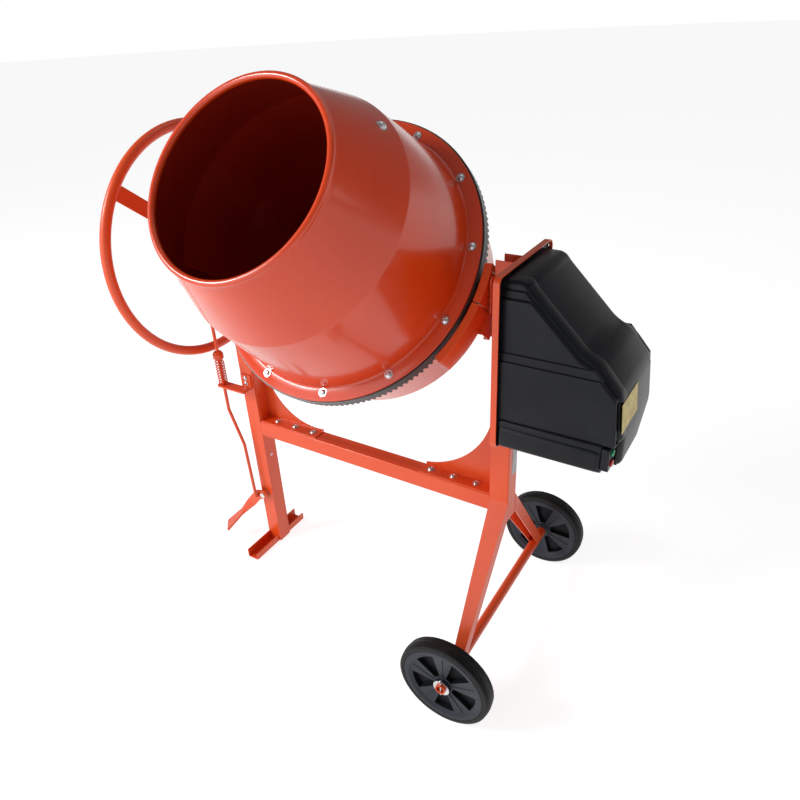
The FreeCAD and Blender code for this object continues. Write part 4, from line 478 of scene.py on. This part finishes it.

# %% [markdown]
# ## The drum, upper half
#
# The upper half is a spun cone on a short, slightly tapered wall, with a flange at its foot and its
# mouth rolled over a wire into a bead. It is turned from a thin closed profile, so that the sheet
# has a real thickness at the mouth and at the flange. The inside faces get the darker paint, which
# is painted shade for the inside of the drum: they are the ones nearer to the axis than the sheet's
# middle.

# %% Drum, upper half
BEAD = (0.210, 0.458, 0.0075)
upper_outside = (
    [(0.3513, 0.0651), (0.352, 0.0658), (0.352, 0.0670), (0.3513, 0.0676)]
    + arc(0.3229, 0.0732, 0.0056, 270, 188.7, 6)
    + [(0.3165, 0.0785), (0.2855, 0.2815)]
    + arc(0.2748, 0.2883, 0.0095, 8.7, 23.9, 4)
    + [(0.2807, 0.2985), (0.2171, 0.4420), (0.2150, 0.4468)])
upper_bead = arc(BEAD[0], BEAD[1], BEAD[2], -58, 236, 26)
upper_inside = (
    [(0.2090, 0.4485), (0.2133, 0.4440), (0.2780, 0.2985)]
    + arc(0.2739, 0.2880, 0.0080, 23.9, 8.7, 4)
    + [(0.2830, 0.2810), (0.3140, 0.0785), (0.3152, 0.0700), (0.3160, 0.0651)])

DRUM_STEPS = 180
WALL_TAPER, CONE_TAPER = 0.1527, 0.4431
SKIN = 0.0008

bm = bmesh.new()
lathe(bm, upper_outside + upper_bead + upper_inside, DRUM_STEPS)
for face in bm.faces:
    middle = face.calc_center_median()
    reach = math.hypot(middle.x, middle.y)
    wall = 0.3160 - (middle.z - 0.0651) * WALL_TAPER
    cone = 0.2816 - (middle.z - 0.2903) * CONE_TAPER
    # Inside faces take the second material, the darker inside paint: painted shade.
    face.material_index = int(reach < min(wall, cone) + SKIN and 0.0652 < middle.z < 0.449)
finished(
    bm, "drum_upper_shell", DRUM_FRAME, "drum", "drum_upper", slot="drum_paint",
    materials=(drum_paint, drum_inside_painted_shade), smooth=50)

# %% [markdown]
# ## The drum, lower half
#
# The lower half is a pressed bowl with a matching flange. A bowl has no single slope to compare
# with, so its inside faces are found by their normals: they look towards the bowl's middle. They
# get the darker inside paint, which is painted shade.

# %% Drum, lower half
lower_outside = (
    [(0.3513, 0.0649), (0.352, 0.0643), (0.352, 0.0629), (0.3513, 0.0625)]
    + [(0.3215, 0.0625)] + arc(0.3213, 0.0595, 0.0030, 90, 176, 4)
    + arc(0.2822, -0.1588, 0.0215, -3.0, -68.0, 9)
    + arc(0.1200, -0.2150, 0.0250, -70.0, -90.0, 4)
    + [(0.0, -0.2400)])
lower_inside = (
    [(0.0, -0.2375)] + arc(0.1200, -0.2150, 0.0225, -90.0, -70.0, 4)
    + arc(0.2822, -0.1588, 0.0190, -68.0, -3.0, 9) + [(0.3158, 0.0600), (0.3158, 0.0649)])
BOWL_MIDDLE = -0.02
BOWL_STRETCH = 1.2

bm = bmesh.new()
lathe(bm, lower_outside + lower_inside, DRUM_STEPS)
bmesh.ops.recalc_face_normals(bm, faces=bm.faces)
for face in bm.faces:
    middle = face.calc_center_median()
    inward = -Vector((middle.x, middle.y, (middle.z - BOWL_MIDDLE) * BOWL_STRETCH))
    inner = middle.z < 0.0645 and math.hypot(middle.x, middle.y) < 0.3165
    # Inward faces of the bowl take the second material, the darker inside paint: painted shade.
    face.material_index = int(inner and face.normal.dot(inward) > 0)
finished(
    bm, "drum_lower_shell", DRUM_FRAME, "drum", "drum_lower", slot="drum_paint",
    materials=(drum_paint, drum_inside_painted_shade), smooth=50)

# %% [markdown]
# ## The cover
#
# The real cover is moulded as a core with wider tiers laid against its sides, each ending in a
# rounded ledge. It is built the same way: one slab for the core, and for each tier a slab with a
# slightly smaller outline that stands out a little further. A block along the lower edge holds the
# switch at its end. The rear lower edge is cut off slanting. First come the outlines, as (depth
# from the back plate, height).

# %% Cover outlines
DEEP = 0.274
HALF = 0.133
LOW = 0.722
SIDE = [
    (0.0, LOW), (DEEP, LOW), (DEEP, 0.807), (0.266, 0.898), (0.215, 0.958), (0.183, 0.973),
    (0.071, 1.087), (0.057, 1.107), (0.0, 1.107)]


def inset_outline(points, gap):
    """The outline moved inwards by a gap, corner by corner."""
    moved = []
    for k, here in enumerate(points):
        here, before, after = (Vector(points[j % len(points)]) for j in (k, k - 1, k + 1))
        one, two = (here - before).normalized(), (after - here).normalized()
        first, second = Vector((-one.y, one.x)), Vector((-two.y, two.x))
        moved.append(tuple(here + (first + second) * (gap / (1 + first.dot(second)))))
    moved[0] = (0.0, moved[0][1])
    moved[-1] = (0.0, moved[-1][1])
    return moved


def capped(points, top):
    """The outline cut off level at a height."""
    kept = []
    for k, here in enumerate(points):
        before = points[k - 1]
        if (before[1] > top) != (here[1] > top):
            part = (top - before[1]) / (here[1] - before[1])
            kept.append((before[0] + (here[0] - before[0]) * part, top))
        if here[1] <= top:
            kept.append(here)
    return kept[1:] + kept[:1]


SWITCH_BACK, SWITCH_TOP = 0.2425, LOW + 0.068


def notched(points):
    """Takes the switch's corner out of a side outline."""
    return [
        (0.0, LOW), (SWITCH_BACK, LOW), (SWITCH_BACK, SWITCH_TOP), (points[1][0], SWITCH_TOP),
    ] + points[2:]


print("the cover's side, cut off at a metre:", capped(SIDE, 1.0))

# %% [markdown]
# ## Slabs with rounded edges
#
# A slab is a flat outline given thickness by an extrusion. One plane cuts its rear lower edge off,
# and a bevel rounds every edge that turns by more than 12 degrees, except those on the back plate.

# %% Slabs
def slab(bm, outline, low, high):
    """A flat outline of (x, z) given thickness from y = low to y = high."""
    face = bm.faces.new([bm.verts.new((x, low, z)) for x, z in outline])
    out = bmesh.ops.extrude_face_region(bm, geom=[face])
    moved = [item for item in out["geom"] if isinstance(item, bmesh.types.BMVert)]
    bmesh.ops.translate(bm, verts=moved, vec=(0, high - low, 0))


def soften(bm, edges, width, segments):
    """Rounds edges off."""
    bmesh.ops.bevel(
        bm, geom=list(edges), offset=width, offset_type="OFFSET", segments=segments, profile=0.5,
        affect="EDGES", clamp_overlap=True, material=-1)


ON_PLATE = 0.002
BLUNT = math.radians(12)
SLANT_TOP, SLANT = LOW + 0.074, (0, 0.60, -0.80)


def tier(low_y, high_y, outline, rounding, segments, cut=True):
    """One rounded slab of the cover."""
    part = bmesh.new()
    slab(part, outline, low_y, high_y)
    if cut:
        bmesh.ops.bisect_plane(
            part, geom=part.verts[:] + part.edges[:] + part.faces[:], dist=1e-6,
            plane_co=(0, HALF, SLANT_TOP), plane_no=SLANT, clear_outer=True)
        bmesh.ops.holes_fill(part, edges=[e for e in part.edges if e.is_boundary])
    bmesh.ops.recalc_face_normals(part, faces=part.faces)
    corners = [
        e for e in part.edges
        if max(v.co.x for v in e.verts) > ON_PLATE and e.calc_face_angle(0.0) > BLUNT]
    soften(part, corners, rounding, segments)
    return part


def gathered(parts):
    """Several meshes in one."""
    whole = bmesh.new()
    for part in parts:
        mesh = bpy.data.meshes.new("part")
        part.to_mesh(mesh)
        part.free()
        whole.from_mesh(mesh)
        bpy.data.meshes.remove(mesh)
    return whole


print("edges on the back plate stay sharp up to", ON_PLATE)

# %% [markdown]
# ## The cover, put together
#
# Each tier has an outline, a half width and a rounding. The front part of each has the switch's
# corner taken out, so every tier is two slabs that overlap. Two more slabs make the block along the
# lower edge, and a thin plate with rounded corners makes the rim that is screwed to the back plate.

# %% Cover
NOTCH_Y = -0.099
OVERLAP = 0.030
core = inset_outline(SIDE, 0.0)
LEDGES = [
    (core, 0.115, 0.020),
    (capped(inset_outline(SIDE, 0.010), 1.088), 0.1195, 0.0044),
    (capped(inset_outline(SIDE, 0.010), 1.071), 0.1255, 0.0059),
    (capped(inset_outline(SIDE, 0.008), 0.952), 0.1290, 0.0034),
    (capped(inset_outline(SIDE, 0.008), 0.934), HALF, 0.0039),
]
rim = bmesh.new()
bmesh.ops.create_cube(rim, size=1.0, matrix=Matrix.LocRotScale(
    (0.0015, 0.0, 0.917), None, (0.003, 0.283, 0.395)))
across = [e for e in rim.edges if abs(e.verts[0].co.x - e.verts[1].co.x) > ON_PLATE]
soften(rim, across, 0.015, 6)
tiers = [rim]
for outline, half, rounding in LEDGES:
    tiers.append(tier(NOTCH_Y, half, outline, rounding, 5))
    tiers.append(
        tier(-half, NOTCH_Y + OVERLAP, notched(outline), min(rounding, 0.014), 5, cut=False))
for reach, top, rounding in ((0.1390, 0.793, 0.0060), (0.1445, 0.781, 0.0130)):
    block = [(0.012, 0.725), (SWITCH_BACK, 0.725), (SWITCH_BACK, top), (0.012, top)]
    tiers.append(tier(-reach, NOTCH_Y, block, rounding, 6, cut=False))
finished(
    gathered(tiers), "motor_cover_shell", COVER_FRAME, "frame", "motor_cover", slot="black_plastic",
    materials=(cover_black,), smooth=40)

# %% [markdown]
# ## Tyres
#
# A tyre is a lathe job: two sidewalls, a gently crowned tread, and fine grooves that run round
# beside the shoulders.

# %% Tyres
TYRE_HALF = 0.021


def tyre_profile():
    """Bead, sidewalls, shoulders, grooves and tread, as (radius, height)."""
    side = [(0.0985, -0.0168), (0.1088, -0.0170), (0.1096, -0.0196), (0.1120, -0.0207),
            (0.1165, -0.0208), (0.1200, -0.0196)]
    tread = []
    for groove in (-0.0170, -0.0140, -0.0110, -0.0055):
        crown = 0.1249 - (groove / TYRE_HALF) ** 2 * 0.0034
        tread += [
            (crown - 0.0002, groove - 0.0008), (crown - 0.0016, groove - 0.0004),
            (crown - 0.0016, groove + 0.0004), (crown, groove + 0.0008)]
    half = side + tread + [(0.1250, -0.0020)]
    return half + [(radius, -height) for radius, height in reversed(half)]


def wheel_frame(across, outward):
    """The frame of a wheel whose outer face looks along +Y or -Y."""
    turn = Matrix.Rotation(math.radians(-90 * outward), 4, "X")
    return Matrix.Translation((AXLE.x, across, AXLE.z)) @ turn


HALF_TRACK = 0.330
WHEELS = {
    "front_wheel": wheel_frame(AXLE.y - HALF_TRACK, -1),
    "rear_wheel": wheel_frame(AXLE.y + HALF_TRACK, 1),
}
for body, place in WHEELS.items():
    bm = bmesh.new()
    lathe(bm, tyre_profile(), 120)
    finished(
        bm, body + "_tyre_ring", place, body, body + "_tyre", slot="tyre_rubber",
        materials=(black_rubber,), smooth=45)

# %% [markdown]
# ## Wheel discs
#
# The disc is moulded in one piece: a hub, five broad flat spokes and a rim. Between the spokes the
# plastic is sunk to a thin web. The disc is turned first, then the faces of each gap are inset and
# pushed in, and a narrow band on each spoke is raised into a rib. The sunk faces and their walls
# take the darker plastic, which is painted shade. Angles are in degrees.

# %% Wheel discs
DISC_PROFILE = [
    (0.0140, -0.0225), (0.0225, -0.0225), (0.0235, -0.0160), (0.0255, -0.0145), (0.0890, -0.0145),
    (0.0925, -0.0158), (0.0965, -0.0200), (0.0990, -0.0208), (0.1070, -0.0208), (0.1086, -0.0198),
    (0.1086, -0.0173), (0.0983, -0.0171)]
GAP_AT, GAP_HALF, RIB_HALF, PITCH = 127.0, 18.2, 1.2, 72


def web_faces(bm, centre, half_width, side):
    """The web's faces on one side of the disc, within a sector."""
    found = []
    for face in bm.faces:
        middle = face.calc_center_median()
        turn = (math.degrees(math.atan2(middle.y, middle.x)) - centre + 180) % 360 - 180
        reach = math.hypot(middle.x, middle.y)
        if abs(turn) < half_width and 0.026 < reach < 0.0885 and middle.z * side > 0.0142:
            found.append(face)
    return found


for body, place in WHEELS.items():
    bm = bmesh.new()
    lathe(bm, DISC_PROFILE + [(radius, -height) for radius, height in reversed(DISC_PROFILE)], 180)
    bmesh.ops.recalc_face_normals(bm, faces=bm.faces)
    for centre in (GAP_AT + PITCH * k for k in range(5)):
        for side in (-1, 1):
            gap = web_faces(bm, centre, GAP_HALF, side)
            bmesh.ops.inset_region(
                bm, faces=gap, thickness=0.0008, depth=-0.0006, use_even_offset=True)
            walls = bmesh.ops.inset_region(
                bm, faces=gap, thickness=0.0010, depth=-0.0125, use_even_offset=True)["faces"]
            # The gap's floor and walls take the second material: painted shade.
            for face in gap + walls:
                face.material_index = 1
            rib = web_faces(bm, centre + PITCH / 2, RIB_HALF, side)
            bmesh.ops.inset_region(
                bm, faces=rib, thickness=0.0007, depth=0.0014, use_even_offset=True)
    finished(
        bm, body + "_disc_moulding", place, body, body + "_disc", slot="wheel_plastic",
        materials=(wheel_black, gap_painted_shade), smooth=30)

# %% [markdown]
# ## Handwheel rim
#
# The rim is a bent tube, closed by a weld. A lathe turns its round section about the wheel's axis.

# %% Handwheel rim
RIM_RADIUS, TUBE_RADIUS = 0.3125, 0.0135

bm = bmesh.new()
lathe(bm, arc(RIM_RADIUS, 0.0, TUBE_RADIUS, 0, 350, 35), 160)
finished(
    bm, "handwheel_tube", HANDWHEEL_FRAME, "yoke", "handwheel_rim", slot="orange_paint",
    materials=(orange_paint,), smooth=60)

# %% [markdown]
# ## Lock spring
#
# The spring under the lock's plunger gets shorter when the pedal is pressed. It is a small round
# section swept up a screw: bmesh's spin does that when it also shifts every step upwards. The
# piece stays on the frame.

# %% Lock spring
SPRING_LENGTH, COIL_RADIUS, WIRE = 0.082, 0.0125, 0.0018
TURNS, STEPS = 9, 24

bm = bmesh.new()
bmesh.ops.create_circle(
    bm, segments=8, radius=WIRE,
    matrix=Matrix.Translation((COIL_RADIUS, 0, WIRE)) @ Matrix.Rotation(math.radians(90), 4, "X"))
rise = (SPRING_LENGTH - 2 * WIRE) / (TURNS * STEPS)
bmesh.ops.spin(
    bm, geom=bm.verts[:] + bm.edges[:], cent=(0, 0, 0), axis=(0, 0, 1), dvec=(0, 0, rise),
    angle=math.tau * TURNS, steps=TURNS * STEPS)
bmesh.ops.holes_fill(bm, edges=[e for e in bm.edges if e.is_boundary])
spring = finished(
    bm, "lock_coil", Matrix.Translation(SPRING_FOOT), "frame", "lock_spring", slot="orange_paint",
    materials=(orange_paint,), smooth=60)
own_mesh(spring)

# %% [markdown]
# ## Floor
#
# The machine stands on a wide pale floor. The floor glows a little, so that it stays nearly white
# and only a faint shadow shows on it.

# %% Floor
bm = bmesh.new()
bmesh.ops.create_circle(bm, cap_ends=True, segments=96, radius=40)
ground = bpy.data.meshes.new("floor")
bm.to_mesh(ground)
bm.free()
floor = bpy.data.objects.new("floor", ground)
bpy.context.scene.collection.objects.link(floor)
pale = Finish("pale_floor", Roughness=0.9, Emission_Color=rgb(1, 1, 1), Emission_Strength=0.82)
pale.feed(Base_Color=pale.mix(pale.noise(2.0), rgb(0.42, 0.42, 0.42), rgb(0.45, 0.45, 0.45)))
ground.materials.append(pale.material)
print("floor:", floor.name, "with", pale.material.name)

# %% [markdown]
# ## Sky
#
# The sky is a ramp over height: white at the horizon, so that the floor runs into it, and a calm
# grey above, so that glossy paint has something darker to reflect.

# %% Sky
sky = bpy.data.worlds.new("studio")
sky.use_nodes = True
backdrop = sky.node_tree.nodes["Background"]
backdrop.inputs["Strength"].default_value = 1.0
direction = sky.node_tree.nodes.new("ShaderNodeTexCoord")
height = sky.node_tree.nodes.new("ShaderNodeSeparateXYZ")
ramp = sky.node_tree.nodes.new("ShaderNodeValToRGB")
stops = ramp.color_ramp.elements
stops[0].color = rgb(1, 1, 1)
stops[1].color = rgb(0.22, 0.22, 0.22)
for place, grey in ((0.07, 1.0), (0.13, 0.24)):
    stops.new(place).color = rgb(grey, grey, grey)
sky.node_tree.links.new(direction.outputs["Generated"], height.inputs[0])
sky.node_tree.links.new(height.outputs["Z"], ramp.inputs[0])
sky.node_tree.links.new(ramp.outputs[0], backdrop.inputs["Color"])
bpy.context.scene.world = sky
bpy.context.scene.view_settings.view_transform = "Standard"
print("sky:", [(round(stop.position, 2), round(stop.color[0], 2)) for stop in stops])

# %% [markdown]
# ## Lamps
#
# A window-sized lamp from the front left shapes the drum and puts a soft highlight on it. A large
# one in front fills the shadows, and two weak ones lift the right side and the top.

# %% Lamps
def lamp(name, place, target, size, power):
    """A soft square lamp that looks at a point."""
    light = bpy.data.lights.new(name, "AREA")
    light.shape = "RECTANGLE"
    light.size, light.size_y = size
    light.energy = power
    made = bpy.data.objects.new(name, light)
    made.location = place
    made.rotation_euler = (Vector(target) - Vector(place)).to_track_quat("-Z", "Y").to_euler()
    bpy.context.scene.collection.objects.link(made)


lamp("window", (-2.9, -2.67, 3.21), (-0.064, 0.066, 1.033), (1.45, 1.2), 140)
lamp("front", (-1.8, -4.4, 1.9), (0, 0, 0.7), (4.0, 3.0), 58)
lamp("right", (3.4, 0.4, 2.6), (0.3, 0, 0.8), (0.8, 1.6), 4)
lamp("top", (0.3, 1.4, 4.2), (0, 0, 0.6), (2.6, 1.0), 10)

# %% [markdown]
# ## Camera
#
# The camera stands to the front right, about a metre and a half up, and looks down by 30 degrees.
# It is rolled by a small angle, as a camera held in the hand is.

# %% Camera
TURN, DOWN, ROLL = (math.radians(v) for v in (33.034, 29.954, -3.136))
forward = Vector(
    (-math.sin(TURN) * math.cos(DOWN), math.cos(TURN) * math.cos(DOWN), -math.sin(DOWN)))
level = Vector((math.cos(TURN), math.sin(TURN), 0))
upright = level.cross(forward)
right = level * math.cos(ROLL) + upright * math.sin(ROLL)
up = upright * math.cos(ROLL) - level * math.sin(ROLL)
lens = bpy.data.cameras.new("camera")
lens.lens, lens.sensor_width = 31.0, 36.0
camera = bpy.data.objects.new("camera", lens)
axes = Matrix((right, up, -forward)).transposed()
camera.matrix_world = Matrix.Translation((0.9062, -1.2570, 1.5916)) @ axes.to_4x4()
bpy.context.scene.collection.objects.link(camera)
bpy.context.scene.camera = camera
print("camera at", [round(v, 3) for v in camera.location])

# %% [markdown]
# The finished piece has to stay within the engineering model's own box.
